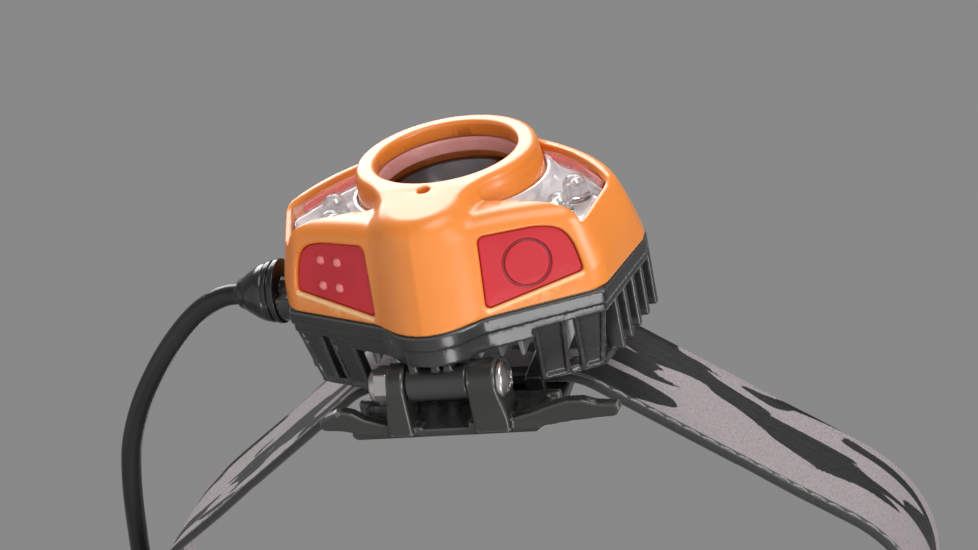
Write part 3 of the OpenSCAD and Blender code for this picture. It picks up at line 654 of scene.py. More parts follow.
def from_face(points):
    """The way back: points on a button face, as points of the lamp's frame."""
    return FACE_AT + points[:, :1] * FACE_X + points[:, 1:2] * FACE_Y + points[:, 2:] * FACE_Z


def mirrored(points):
    return points * np.array([-1, 1, 1])


def on_side(side, place=worn):
    """The placing of a piece that is shaped on the right-hand side."""
    return lambda points: place(points if side > 0 else mirrored(points))


def button_plan(u, v):
    flat = np.stack([u, v], -1)
    made = None
    for i, r in enumerate(BUTTON_ROUNDING):
        side = edge_line(flat, BUTTON[i], BUTTON[(i + 1) % len(BUTTON)])
        made = side if made is None else rmax(made, side, r)
    return made


GLAND_AT = (-38.0, -10.0, -24.5)
SCREWS = [(28.9, -17.3), (30.3, 8.8)]


def gland_radius(p):
    return np.hypot(p[..., 1] - GLAND_AT[1], p[..., 2] - GLAND_AT[2])


def pivot_radius(p):
    return np.hypot(p[..., 1] - PIVOT_Y, p[..., 2] - PIVOT_Z)


def upright(q, at):
    """Distance from an axis along the lens at a place."""
    return np.hypot(q[..., 0] - at[0], q[..., 1] - at[1])


def front_shell(p):
    q = side_of(p)
    x, y, z = split(p)
    block = shell_block(q)
    outer = rmin(stem(q), block, 2.2)
    plan = window_plan(q)
    # the hollow behind the wall, kept clear of the lens tube and of a curtain round each window
    hollow = most(rmin(stem_side(q), block, 2.2), z - deck_height(q)) + WALL
    tube = most(np.hypot(x, y) - 17.8, -13 - z)
    curtain = most(most(plan - 1.3, -0.3 - plan), -16 - z)
    hollow = most(hollow, -least(tube, curtain))
    for at in SCREWS:
        boss = most(upright(q, at) - 2.3, np.abs(z + 21.5) - 1.2)
        hollow = most(hollow, -boss)
    made = rmax(outer, -hollow, 0.2)
    made = rmax(made, -most(window_opening(q), WINDOW_DEPTH - z), 0.45)
    made = rmax(made, -most(most(plan, block + 1.3), -20 - z), 0.2)
    made = rmax(made, RING_R - np.hypot(x, y), 0.9)
    made = most(made, -most(np.hypot(x, y) - SEAT_R, z - SEAT_Z))
    u, v, w = face_point(q)
    pocket = most(button_plan(u, v) - 0.13, np.abs(w) - 4.5)
    made = rmax(made, -pocket, 0.7)
    made = rmax(made, -most(np.hypot(x, y - INDICATOR_Y) - 1.3, -8 - z), 0.25)
    for at in SCREWS:
        pilot = most(upright(q, at) - 1.27, z + 20.5)
        made = most(made, -pilot)
    made = most(made, -most(gland_radius(p) - CABLE_HOLE, x + 20))
    return rmax(made, REAR_Z - z, 0.25)


def build_shell():
    shell = moulding("front_shell_moulding", front_shell, (-41, -40, -24.5), (41, 25, 2), "orange", 0.5)
    stand_for(shell, "lamp", "shell_orange", "front_shell")
    # the lower lip of each button pocket is painted paler, a painted highlight
    start, end = np.array(BUTTON[0]), np.array(BUTTON[1])
    along = start + np.linspace(0.02, 0.98, 90)[:, None] * (end - start)
    line = from_face(np.column_stack([along + (0, -0.35), np.full(90, -0.35)]))
    spots = np.concatenate([worn(line), worn(mirrored(line))])
    corners = np.array([vertex.co for vertex in shell.data.vertices])
    near = np.min([norm(corners - spot, axis=1) for spot in spots], axis=0) / MM
    lip = shell.data.attributes.new("lip", "FLOAT", "POINT")
    lip.data.foreach_set("value", np.clip(1.5 - near / 0.5, 0, 0.85).astype(np.float32))


def button_field(side):
    def field(p):
        u, v, w = split(p)
        plan = button_plan(u, v)
        crown = 0.12 * ease(-plan, 0, 3)
        made = rmax(plan, w + RECESS - crown, 0.3)
        made = most(made, -2.9 - w)
        made = least(made, rmax(plan - 0.7, np.abs(w + 2.83) - 0.27, 0.2))
        if side < 0:
            for du, dv in BUMPS:
                bump = np.sqrt((u - du) ** 2 + (v - dv) ** 2 + (w + RECESS + 0.1) ** 2) - 1.0
                made = rmin(made, bump, 0.15)
        else:
            out = np.hypot(u - CIRCLE[0], v - CIRCLE[1]) - CIRCLE_R
            made = rmax(made, -(np.hypot(out, w + RECESS - 0.1) - 0.3), 0.1)
        return made
    return field


def paint_near(piece, centres, material, reach):
    """Gives a second material to the faces within reach of any of some points."""
    piece.data.materials.append(MATERIALS[material])
    for face in piece.data.polygons:
        if norm(centres - np.array(face.center), axis=1).min() < reach * MM:
            face.material_index = 1


def build_buttons():
    turn = np.linspace(0, 2 * math.pi, 180)
    circle = [(CIRCLE[0] + CIRCLE_R * math.cos(a), CIRCLE[1] + CIRCLE_R * math.sin(a), -RECESS)
              for a in turn]
    # the left button's bumps get a painted highlight and the right button's ring groove painted shade
    marks = {-1: ([(u, v, 0.25 - RECESS) for u, v in BUMPS], "bump", 1.0), 1: (circle, "groove_shade", 0.34)}
    for side, name in SIDES:
        def place(points, side=side):
            return on_side(side)(from_face(points))
        button = solid(f"button_{name}_cap", button_field(side), (-12.6, -9.4, -3.8), (11, 8.8, 0.9), 0.2,
                       "red", 0.6, place)
        spots, material, reach = marks[side]
        paint_near(button, place(np.array(spots)), material, reach)
        stand_for(button, f"button_{name}", "button_red", f"button_{name}")


def window_pieces():
    """Clear cover, red gasket along the far walls, and white tray, on each side."""
    def cover(q):
        skin = shell_block(q)
        made = rmax(rmax(skin + COVER_SINK, -(skin + COVER_SINK + 1.1), 0.15), window_opening(q) + 0.18, 0.15)
        return most(made, -11.5 - q[..., 2])

    def gasket(q):
        plan, depth = window_plan(q), q[..., 2] - deck_height(q)
        ring = most(plan + 0.12, -(plan + 0.95))
        band = most(depth + 1.2, -(depth + 3.9))
        made = rmax(ring, most(band, shell_block(q) + COVER_SINK + 1.15), 0.2)
        return rmax(rmax(made, -3.0 - q[..., 1], 0.2), RING_FOOT + 1.2 - np.hypot(q[..., 0], q[..., 1]), 0.2)

    def tray(q):
        z, plan = q[..., 2], window_plan(q)
        far = ease(np.hypot(q[..., 0], q[..., 1]), RING_FOOT + 1.0, RING_FOOT + 3.0)
        outside = most(plan + 0.35, most(z - deck_height(q) + 2.0 + 2.0 * far,
                                                     shell_block(q) + COVER_SINK + 1.2))
        outside = most(outside, -13.2 - z)
        inside = rmax(plan + 1.1, -12.3 - z, 1.3)
        made = rmax(outside, -inside, 0.15)
        u, v, w = face_point(q)
        made = most(made, -most(button_plan(u, v) - 0.9, -9.0 - w))
        for at in LEDS:
            made = most(made, LED_HOLE - upright(q, at))
        return made

    kinds = [("window_cover", cover, 0.35, "lens", "clear_lens", "window"),
             ("window_gasket_strip", gasket, 0.3, "gasket", "gasket_red", "window_gasket"),
             ("side_tray", tray, 0.35, "tray", "reflector_chrome", "side_reflector")]
    for side, name in SIDES:
        for title, field, step, material, slot, node in kinds:
            piece = solid(f"{title}_{name}", field, (10, -22.5, -14), (38, 18, -2.5), step, material, 0.6,
                          on_side(side))
            stand_for(piece, "lamp", slot, f"{node}_{name}")


LEDS = [(26.0, -1.5), (24.2, -9.7)]
LED_R, LED_FLOOR, LED_TOP, LED_HOLE = 2.5, -12.2, -7.1, 2.65


def soften(outline, r, steps=4):
    """A closed outline with each corner replaced by a short curve that starts r before it."""
    made, n = [], len(outline)
    for i in range(n):
        a, b, c = (np.array(outline[(i + k) % n], float) for k in (-1, 0, 1))
        start = b + (a - b) * min(r / norm(a - b), 0.45)
        end = b + (c - b) * min(r / norm(c - b), 0.45)
        for t in np.linspace(0, 1, steps):
            made.append((1 - t) ** 2 * start + 2 * t * (1 - t) * b + t * t * end)
    return made


def revolve(profile, segments=64, origin=(0, 0, 0), axis=(0, 0, 1)):
    """Points and faces of a closed (radius, height) profile turned about an axis."""
    axis = np.array(axis, float) / norm(axis)
    side = np.cross(axis, (0, 1, 0) if abs(axis[1]) < 0.9 else (1, 0, 0))
    side /= norm(side)
    across = np.cross(axis, side)
    turn = np.linspace(0, 2 * math.pi, segments, endpoint=False)
    ring = np.cos(turn)[:, None] * side + np.sin(turn)[:, None] * across
    points = np.array([np.array(origin) + max(r, 0) * ring + h * axis for r, h in profile]).reshape(-1, 3)
    n, faces = len(profile), []
    for i in range(n):
        j = (i + 1) % n
        if max(profile[i][0], profile[j][0]) < 1e-6:
            continue
        for k in range(segments):
            m = (k + 1) % segments
            faces.append((i * segments + k, i * segments + m, j * segments + m, j * segments + k))
    return points, faces


def lathe(name, parts, material, place=worn, segments=64):
    """One piece of several turned parts: each is (profile, origin, axis)."""
    made = [revolve(profile, segments, origin, axis) for profile, origin, axis in parts]
    return join_meshes(name, [(place(p), f) for p, f in made], material)


def build_leds():
    dome = [(LED_R * math.cos(a), LED_TOP - LED_R + LED_R * math.sin(a))
            for a in np.linspace(0, math.pi / 2, 9)]
    body = [(0, LED_FLOOR), (2.9, LED_FLOOR), (2.95, LED_FLOOR + 0.3), (2.9, LED_FLOOR + 0.9),
            (2.55, LED_FLOOR + 1.0), *dome]
    post = soften([(0, -12), (0.28, -12), (0.28, -9.3), (0, -9.3)], 0.1)
    cup = [(0, -9.6), (0.55, -9.6), (1.0, -8.9), (0.85, -8.9), (0.4, -9.35), (0, -9.35)]
    for side, name in SIDES:
        places = [(side * x, y, 0) for x, y in LEDS]
        leds = lathe(f"side_led_pair_{name}", [(body, at, (0, 0, 1)) for at in places], "led", segments=40)
        stand_for(leds, "lamp", "led_clear", f"side_leds_{name}")
        inner = [(post, (x + dx, y, 0), (0, 0, 1)) for x, y, _ in places for dx in (-0.8, 0.8)]
        inner += [(cup, (x + 0.6, y, 0), (0, 0, 1)) for x, y, _ in places]
        leads = lathe(f"side_led_leads_{name}", inner, "nickel", segments=16)
        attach(leads, "lamp")


def build_lens():
    """Main lens with its shallow crown, the pink gasket ring above it, and the reflector below."""
    top = [(r, -7.0 + 0.35 * (1 - (r / 14.4) ** 2)) for r in np.linspace(14.4, 0, 12)]
    rim = [(0, -8.15), (15.6, -8.15), (15.75, -8.0), (15.75, -6.85), (15.6, -6.7), (14.6, -6.7)]
    lens = lathe("main_lens_glass", [(rim + top, (0, 0, 0), (0, 0, 1))], "lens", segments=96)
    stand_for(lens, "lamp", "clear_lens", "main_lens")
    ring = soften([(16.1, -6.6), (16.1, -3.68), (15.1, -3.68), (14.7, -4.2), (14.15, -6.3),
                   (14.15, -6.6)], 0.3)
    gasket = lathe("lens_gasket_ring", [(ring, (0, 0, 0), (0, 0, 1))], "pink", segments=128)
    stand_for(gasket, "lamp", "gasket_red", "lens_gasket")
    bowl = [(4.2 + 9.6 * math.sqrt(t), -17.6 + 9.2 * t) for t in np.linspace(0, 1, 24)]
    back = [(5.2 + 9.0 * math.sqrt(t), -17.6 + 8.2 * t) for t in np.linspace(1, 0, 24)]
    profile = bowl + [(15.5, -8.4), (15.5, -9.5)] + back
    # dark metal in place of chrome: a painted dark reflection
    reflector = lathe("main_reflector_bowl", [(profile, (0, 0, 0), (0, 0, 1))], "dark_reflection", segments=128)
    stand_for(reflector, "lamp", "reflector_chrome", "main_reflector")


def rear_plan(q):
    """Outline of the rear housing in plan, nose included. q is on the right-hand side."""
    made = edge_line(q, REAR[0], REAR[1])
    for i, r in zip(range(1, 6), (0.6, 1.2, 3.0, 4.0, 4.0)):
        made = rmax(made, edge_line(q, REAR[i], REAR[i + 1]), r)
    made = rmax(made, q[..., 1] - 23, 3.0)
    nose = most(np.hypot(q[..., 0], least(q[..., 1] + 26.7, 0)) - 10.8, q[..., 1])
    return rmin(made, nose, 1.2)


BAND_Z, SEAM_Z, FOOT_Z = -26.5, -23.42, -41.6
LEGS = [((9.9, 16.6), (9.9, 16.0)), ((18.2, 25.0), (18.4, 23.2))]


def leg(q, top, foot):
    """A housing leg with a sunken panel, leaning in from the front face."""
    s = (q[..., 0] - REAR[0][0]) * FACE_X[0] + (q[..., 1] - REAR[0][1]) * FACE_X[1]
    t = (q[..., 1] - REAR[0][1]) * FACE_X[0] - (q[..., 0] - REAR[0][0]) * FACE_X[1]
    z = q[..., 2]
    share = np.clip((-27.6 - z) / 14, 0, 1)
    face = t - (0.6 + 2.6 * share)
    start, end = top[0] + (foot[0] - top[0]) * share, top[1] + (foot[1] - top[1]) * share
    ends = most(start - s, s - end)
    made = rmax(ends, most(-face, face - 2.2), 0.35)
    made = rmax(made, most(z + 26.9, FOOT_Z - z), 0.35)
    panel = most(most(ends + 1.0, face - 0.5), most(z + 28.6, -40.4 - z))
    return rmax(made, -panel, 0.2)


def rear_housing(p):
    q = side_of(p)
    x, y, z = split(p)
    plan = rear_plan(q)
    band = rmax(plan + 0.12, most(z - SEAM_Z, BAND_Z - z), 0.25)
    made = least(band, rmax(plan + 0.65, most(z + 26.3, -28.5 - z), 0.25))
    made = most(made, -most(plan + 2, BAND_Z - z))
    skirt = most(most(plan + 0.65, -(plan + 2.4)), np.abs(x) - 19)
    made = least(made, rmax(skirt, most(z + 27, -30.4 - z), 0.4))
    for top, foot in LEGS:
        made = least(made, leg(q, top, foot))
    for i in range(5):
        rib_y, rib_x = -15 + 4.6 * i, 34.6 + 0.95 * i
        made = least(made, box(q, (rib_x - 4.4, rib_y, FOOT_Z + 1), (rib_x - 0.8, rib_y + 1.5, -27), 0.35))
    for rib_x in (0, 9, 18, 27):
        rib_y = 21.4 - rib_x * rib_x * 0.0115
        low, high = (rib_x - 0.75, rib_y - 4, FOOT_Z + 1), (rib_x + 0.75, rib_y - 0.4, -27)
        made = least(made, box(q, low, high, 0.35))
    base = most(most(plan + 3.4, -(plan + 7)), most(z - FOOT_Z - 1.6, FOOT_Z - z))
    base = most(base, -most(np.abs(x) - 19, y + 14))
    made = least(made, base)
    boss = most(most(gland_radius(p) - 6.4, x + 34 - 0.3), most(-38.3 - x, z - SEAM_Z))
    made = least(made, boss)
    barrel = rmax(pivot_radius(p) - 3.6, np.abs(x) - 6.3, 0.4)
    made = rmin(made, barrel, 0.3)
    for rib_x in (-4.5, 0.1, 2.7):
        low, high = (rib_x - 0.9, PIVOT_Y - 1.6, -34), (rib_x + 0.9, PIVOT_Y + 9.4, -27.5)
        made = least(made, box(p, low, high, 0.3))
    made = most(made, -box(p, (-26.5, -20.5, -30.5), (26.5, 12.5, -24.5), 0.3))
    made = most(made, BORE_R - pivot_radius(p))
    for at in SCREWS:
        made = most(made, -most(upright(q, at) - 1.3, np.abs(z + 28) - 4))
    return most(made, -most(gland_radius(p) - CABLE_HOLE, x + 20))


def build_housing():
    housing = moulding("rear_housing_moulding", rear_housing, (-41, -40, -42.5), (41, 25, -22.5),
                       "housing", 0.45)
    stand_for(housing, "lamp", "housing_grey", "rear_housing")


def prism(section, y0, y1, lean=0.0):
    """Points and faces of an x-z section drawn out along y; its front end leans back as it drops."""
    top = max(z for _, z in section)
    points = [(x, y + (lean * (top - z) if y == y0 else 0), z) for y in (y0, y1) for x, z in section]
    return np.array(points, float), loft_faces(2, len(section))


def build_heat_sink():
    """Base plate and eleven tapered fins."""
    parts = [prism([(-27.4, -26.5), (27.4, -26.5), (27.4, -23.6), (-27.4, -23.6)], -21.2, 12.6)]
    for i in range(-5, 6):
        x = 4.5 * i
        parts.append(prism([(x - 1.0, -26.6), (x - 0.4, -38.3), (x - 0.2, -38.6), (x + 0.2, -38.6),
                            (x + 0.4, -38.3), (x + 1.0, -26.6)], -20.4, 12.2, 0.12))
    sink = join_meshes("finned_heat_sink", [(worn(p), f) for p, f in parts], "aluminium", smooth=False)
    bevel = sink.modifiers.new("soft_edges", "BEVEL")
    bevel.width, bevel.segments = 0.0002, 2
    apply_modifiers(sink)
    stand_for(sink, "lamp", "fin_aluminium", "heat_sink")


def polygon_distance(u, v, corners):
    """Distance to a closed outline, negative inside."""
    inside, nearest = np.zeros(u.shape, bool), np.full(u.shape, np.inf)
    for (ax, ay), (bx, by) in zip(corners, corners[1:] + corners[:1]):
        ex, ey, wx, wy = bx - ax, by - ay, u - ax, v - ay
        t = np.clip((wx * ex + wy * ey) / (ex * ex + ey * ey), 0, 1)
        nearest = least(nearest, (wx - ex * t) ** 2 + (wy - ey * t) ** 2)
        if ay != by:
            inside ^= ((ay > v) != (by > v)) & (u < ex * wy / (by - ay) + ax)
    return np.where(inside, -1.0, 1.0) * np.sqrt(nearest)


SHELF = [(-8, -46), (-8, -44.2), (19, -44.2), (20, -45), (19, -46)]
RIGHT_CREST = [
    (5, -43.2), (13.5, -42.8), (18, -41.8), (22.6, -40.2), (25.7, -39.4), (28.9, -39.4), (31.6, -40.4),
    (35.9, -40.8), (36.3, -41.8), (35.4, -43.4), (31, -43.7), (26, -44.1), (21.8, -44.7), (17.3, -45.4),
    (5, -45.6)]
LEFT_CREST = [
    (5, -43.8), (10.3, -43.3), (13.8, -42.4), (16.6, -41.4), (18.9, -39.8), (20.7, -39.3),
    (22.7, -39.6), (24.9, -40.5), (26.2, -41.2), (26.2, -43), (25.4, -43.5), (21.8, -43.8),
    (17.4, -44.8), (13.7, -45.4), (5, -45.6)]
EAR_INNER, EAR_OUTER, NUT_EAR_OUTER, NUT_H = 6.5, 12.5, 10.2, 4.0
PLATE_HALF = 21.5


def bracket_field(p):
    q = side_of(p)
    x, y, z = split(q)
    right = p[..., 0] > 0
    barrel = pivot_radius(p) - 4.4
    flare = 1.3 * ease(-z, 34, 43)
    post = most(np.abs(y - PIVOT_Y) - 4.4, most(z - PIVOT_Z, -44.9 - z))
    sides = most(EAR_INNER - x, x - np.where(right, EAR_OUTER, NUT_EAR_OUTER) - flare)
    ear = rmax(least(barrel, post), sides, 0.6)
    outline = np.where(right, polygon_distance(x, z, RIGHT_CREST), polygon_distance(x, z, LEFT_CREST))
    crest = rmax(outline, np.abs(y + 35.9) - 1.3, 0.45)
    shelf = rmax(polygon_distance(x, z, SHELF), np.abs(y + 30.6) - 6.6, 0.35)
    plate = box(q, (-30, -26, -48.4), (PLATE_HALF, 16, -46.4), 0.5)
    upstand = box(q, (-30, -26, -48.4), (PLATE_HALF, -24, -43.8), 0.5)
    lip = box(q, (-30, 13, -47.2), (PLATE_HALF, 16, -43.8), 0.6)
    bar = box(q, (13, -20.6, -43.9), (17, 14.6, -42.9), 0.4)
    foot = least(box(q, (13, -20.6, -47), (17, -18.6, -43), 0.3),
                 box(q, (13, 12.6, -47), (17, 14.6, -43), 0.3))
    made = rmin(rmin(ear, crest, 0.8), shelf, 0.6)
    made = rmin(made, rmin(plate, least(upstand, lip), 0.6), 0.4)
    made = least(made, least(bar, foot))
    return most(made, BOLT_HOLE - pivot_radius(p))


def build_bracket():
    bracket = moulding("forehead_bracket", bracket_field, (-39, -40, -49.5), (39, 17.5, -29.5),
                       "bracket", 0.5)
    stand_for(bracket, "headband", "bracket_grey", "bracket")

    def bolt(p):
        across, x = pivot_radius(p), p[..., 0]
        shank = rmax(across - 2 + 0.06 * np.sin(x * 9), -14.2 - x, 0.3)
        shank = most(shank, x - 13)
        head = rmax(across - 4.0, most(12.5 - x, x - 14.7), 0.35)
        crown = np.sqrt(across ** 2 + (x - 8.3) ** 2) - 6.6
        head = rmax(head, crown, 0.3)
        made = least(shank, head)
        for turn in (25, 115):
            c, s = math.cos(math.radians(turn)), math.sin(math.radians(turn))
            u = (p[..., 1] - PIVOT_Y) * c + (p[..., 2] - PIVOT_Z) * s
            v = (p[..., 2] - PIVOT_Z) * c - (p[..., 1] - PIVOT_Y) * s
            slot = most(most(np.abs(u) - 2.0, np.abs(v) - 0.42), 13.4 + 0.35 * np.abs(u) - x)
            made = rmax(made, -slot, 0.1)
        return made

    def nut(p):
        u, v = p[..., 1] - PIVOT_Y, p[..., 2] - PIVOT_Z
        across, x = np.hypot(u, v), -p[..., 0]
        flats = most(np.abs(v), most(np.abs(0.5 * v + 0.866 * u), np.abs(0.5 * v - 0.866 * u))) - 3.5
        made = rmax(flats, most(NUT_EAR_OUTER - x, x - 12.9), 0.15)
        made = most(made, (across - 5.1 + (x - 12.0) * 1.0) * 0.7)
        collar = rmax(across - 3.5, x - NUT_EAR_OUTER - NUT_H, 0.9)
        collar = most(collar, NUT_EAR_OUTER - x)
        return most(least(made, collar), 2.02 - across)

    y0, z0 = PIVOT_Y, PIVOT_Z
    piece = solid("hinge_bolt_m4", bolt, (-15, y0 - 4.6, z0 - 4.6), (15.4, y0 + 4.6, z0 + 4.6), 0.17,
                  "steel", 0.4)
    stand_for(piece, "headband", "screw_steel", "hinge_bolt")
    piece = solid("hinge_nut_m4", nut, (-15, y0 - 5, z0 - 5), (-9.6, y0 + 5, z0 + 5), 0.17, "steel", 0.5)
    stand_for(piece, "headband", "screw_steel", "hinge_nut")


def build_pad():
    def pad(p):
        x, y, z = split(p)
        made = box(p, (1 - PLATE_HALF, -25, -51.4), (PLATE_HALF - 1, 15, -48.42), 1.3)
        for row in range(-3, 4):
            for column in range(-3, 4):
                at = (5.4 * row, -5 + 5.4 * column)
                dimple = np.sqrt((x - at[0]) ** 2 + (y - at[1]) ** 2 + (z + 52.2) ** 2) - 1.5
                made = rmax(made, -dimple, 0.3)
        return made
    pad_piece = solid("forehead_foam_pad", pad, (-25, -26, -52), (25, 16, -48), 0.5, "foam", 0.6)
    stand_for(pad_piece, "headband", "pad_foam", "forehead_pad")


def build_gland():
    """Gland nut with its two collars, and the tapered boot that the cable leaves through."""
    collars = soften([(2.25, -3.5), (3.0, -3.5), (3.0, 0.4), (6.9, 0.4), (6.9, 1.5), (6.1, 1.6), (6.1, 2.1),
                      (6.6, 2.2), (6.6, 3.15), (2.25, 3.15)], 0.22)
    nut = lathe("gland_nut_collars", [(collars, GLAND_AT, (-1, 0, 0))], "black", segments=72)
    stand_for(nut, "lamp", "seal_black", "gland_nut")
    cone = [(2.3, 3.2), (6.1, 3.2), (6.35, 3.6), (6.2, 4.4), (5.7, 5.6), (4.9, 6.9), (4.4, 7.7), (4.1, 8.2),
            (3.75, 8.5), (3.4, 9.4), (3.1, 10.0), (2.8, 10.2), (2.3, 10.2)]
    boot = lathe("cable_boot_taper", [(cone, GLAND_AT, (-1, 0, 0))], "black", segments=72)
    stand_for(boot, "lamp", "cable_black", "cable_boot")


# ---- cable ----
CABLE_R, CABLE_SIDES = 2.25, 20
CABLE_ROUTE = [
    (-48.2, -116.5, -7), (-52, -116.2, -7), (-56.5, -114.4, -7), (-61, -111.3, -7), (-65.5, -107.2, -7),
    (-70, -102.4, -7), (-74, -97.4, -7), (-77.8, -92, -7), (-81.2, -86, -7), (-84, -79.6, -7),
    (-86.3, -72, -6.5), (-88.5, -64, -5.2), (-90.8, -56, -3), (-93, -48, -0.8), (-94, -40, 0),
    (-94, -29, 0), (-94, -18, 0), (-94, -7, 0), (-94, 4, 0), (-94, 15, 0), (-94, 26, 0),
    (-92.8, 38, -0.6), (-89.8, 50, -2), (-85, 61.5, -4), (-78.6, 72, -6), (-71, 82, -8),
    (-63.2, 91, -9.4), (-57, 98.6, -10), (-52.4, 103.8, -10), (-49, 106.6, -10), (-45.5, 107.9, -10),
    (-41.6, 108, -10)]


def smooth_path(points, steps=4):
    """A curve through the points, by Catmull-Rom."""
    points = np.array(points, float)
    padded = np.vstack([2 * points[0] - points[1], points, 2 * points[-1] - points[-2]])
    made = []
    for i in range(len(points) - 1):
        a, b, c, d = padded[i:i + 4]
        for t in np.arange(steps) / steps:
            made.append(0.5 * (2 * b + (c - a) * t + (2 * a - 5 * b + 4 * c - d) * t * t
                               + (3 * b - a - 3 * c + d) * t ** 3))
    return np.array(made + [points[-1]])


def tube(path, r, sides):
    """Points and faces of a tube along a path, closed at both ends."""
    path = np.array(path, float)
    tangent = np.gradient(path, axis=0)
    tangent /= norm(tangent, axis=1, keepdims=True)
    side = np.cross(tangent[0], (0, 0, 1) if abs(tangent[0][2]) < 0.9 else (1, 0, 0))
    points = []
    for at, along in zip(path, tangent):
        side = side - (side @ along) * along
        side /= norm(side)
        up = np.cross(along, side)
        points += [at + r * (math.cos(a) * side + math.sin(a) * up)
                   for a in np.linspace(0, 2 * math.pi, sides, endpoint=False)]
    return np.array(points), loft_faces(len(path), sides)


def build_cable():
    path = metres(smooth_path(CABLE_ROUTE, 5))
    points, faces = tube(path, CABLE_R * MM, CABLE_SIDES)
    cable = add_mesh("power_cable_jacket", points, faces, "cable")
    metres((-93, -44, 0))
    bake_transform(cable)
    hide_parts("power_cable")
    length = float(norm(np.diff(path, axis=0), axis=1).sum())


# ---- headband ----
BAND_HALF, BAND_T = 15.0, 1.6
FRONT_Y, FRONT_HALF, BEND_R = -95.0, 19.0, 12.0
FRONT_ANGLE = math.radians(36)
LOOP_HALF, TEMPLE_R, REAR_Y = 87.0, 30.0, 8.0


def band_plan(spacing=1.2):
    """Inner face of the band in plan, right half from the front middle: points and outward normals,
    with the distance run to each, and the distances where the CAD's four stretches meet."""
    bend_end = (FRONT_HALF + BEND_R * math.sin(FRONT_ANGLE), FRONT_Y + BEND_R * (1 - math.cos(FRONT_ANGLE)))
    temple_x = LOOP_HALF - TEMPLE_R * (1 - math.sin(FRONT_ANGLE))
    temple_y = bend_end[1] + (temple_x - bend_end[0]) * math.tan(FRONT_ANGLE)
    temple_end = temple_y + TEMPLE_R * math.cos(FRONT_ANGLE)

    def arc(centre, r, start, end):
        turn = np.linspace(start, end, 40)
        return [(centre[0] + r * math.cos(a), centre[1] + r * math.sin(a)) for a in turn]

    quarter = math.pi / 2
    pieces = [[(0, FRONT_Y), *arc((FRONT_HALF, FRONT_Y + BEND_R), BEND_R, -quarter, FRONT_ANGLE - quarter),
               (temple_x, temple_y)],
              [*arc((LOOP_HALF - TEMPLE_R, temple_end), TEMPLE_R, FRONT_ANGLE - quarter, 0),
               (LOOP_HALF, REAR_Y)],
              arc((0, REAR_Y), LOOP_HALF, 0, quarter)]
    points = np.array([p for piece in pieces for p in piece])
    run = np.append(0, np.cumsum(norm(np.diff(points, axis=0), axis=1)))
    keep = np.append(True, np.diff(run) > 1e-6)
    points, run = points[keep], run[keep]
    marks = [float(run[np.argmin(norm(points - np.array(piece[-1]), axis=1))]) for piece in pieces]
    stations = np.unique(np.concatenate([np.linspace(a, b, int((b - a) / spacing) + 2)
                                         for a, b in zip([0] + marks, marks)]))
    at = np.stack([np.interp(stations, run, points[:, k]) for k in (0, 1)], 1)
    along = np.gradient(at, stations, axis=0)
    along /= norm(along, axis=1, keepdims=True)
    return at, np.stack([along[:, 1], -along[:, 0]], 1), stations, marks


def band_section():
    """Cross-section of the elastic as (height across, depth from the inner face): corded edges."""
    edge = [(BAND_HALF - 0.9 + 0.9 * math.cos(a), 0.85 + 0.95 * math.sin(a))
            for a in np.linspace(-1.35, 1.35, 7)]
    outer = [(z, BAND_T - 0.12 + 0.06 * math.cos(z * 2.1))
             for z in np.linspace(BAND_HALF - 1.6, 1.6 - BAND_HALF, 27)]
    return edge + outer + [(-z, d) for z, d in edge[::-1]] + [(-z, 0.1) for z, _ in outer]


def band_side(sign, first, last, at, normal, stations):
    """Points and faces of the band between two distances, on one side of the loop."""
    chosen = (stations >= first - 1e-6) & (stations <= last + 1e-6)
    section = band_section()
    rings, coordinates = [], []
    for place, out, run in zip(at[chosen], normal[chosen], stations[chosen]):
        for z, depth in section:
            wave = 0.10 * math.sin(run * 0.21 + z * 0.3) * (1 if run > 60 else 0)
            spot = place + out * (depth + wave)
            rings.append((sign * spot[0], spot[1], z))
            coordinates.append((sign * run / 1000, z / BAND_HALF, depth / BAND_T))
    return np.array(rings), loft_faces(int(chosen.sum()), len(section)), coordinates


def build_strap():
    at, normal, stations, marks = band_plan(1.2)
    stretches = [("front", (-1, 1), 0, marks[0]), ("left", (-1,), marks[0], marks[1]),
                 ("right", (1,), marks[0], marks[1]), ("rear", (-1, 1), marks[1], marks[2])]
    for name, signs, first, last in stretches:
        parts, coordinates = [], []
        for sign in signs:
            points, faces, c = band_side(sign, first, last, at, normal, stations)
            parts.append((metres(points), faces))
            coordinates += c
        strap = join_meshes(f"elastic_band_{name}", parts, "elastic")
        band = strap.data.attributes.new("band", "FLOAT_VECTOR", "POINT")
        band.data.foreach_set("vector", np.array(coordinates, np.float32).ravel())
        strap.data.materials.append(MATERIALS["selvedge"])
        across = np.array([c[1] for c in coordinates])
        for face in strap.data.polygons:
            if across[list(face.vertices)].mean() < -0.8:
                face.material_index = 1
        stand_for(strap, "headband", "strap_elastic", f"strap_{name}")
    build_stitching(at, normal, stations)


STITCH_Z, STITCH_PITCH, STITCH, STITCH_FROM, STITCH_R = -13.2, 4.2, 3.3, 26.0, 0.3


def build_stitching(at, normal, stations):
    """A row of short stitches along the lower edge of the band."""
    parts = []
    for sign in (-1, 1):
        for start in np.arange(STITCH_FROM, stations[-1] - STITCH_PITCH, STITCH_PITCH):
            run = start + np.array([0, 0.35, 0.5, 0.65, 1]) * STITCH
            depth = BAND_T + np.array([-0.35, -0.10, -0.06, -0.10, -0.35])
            spot = np.stack([np.interp(run, stations, at[:, k]) for k in (0, 1)], 1)
            out = np.stack([np.interp(run, stations, normal[:, k]) for k in (0, 1)], 1)
            spot = spot + out * depth[:, None]
            path = np.stack([sign * spot[:, 0], spot[:, 1], np.full(5, STITCH_Z)], 1)
            parts.append(tube(metres(path), STITCH_R * MM, 6))
    stitching = join_meshes("band_stitching", parts, "stitch")
    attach(stitching, "headband")


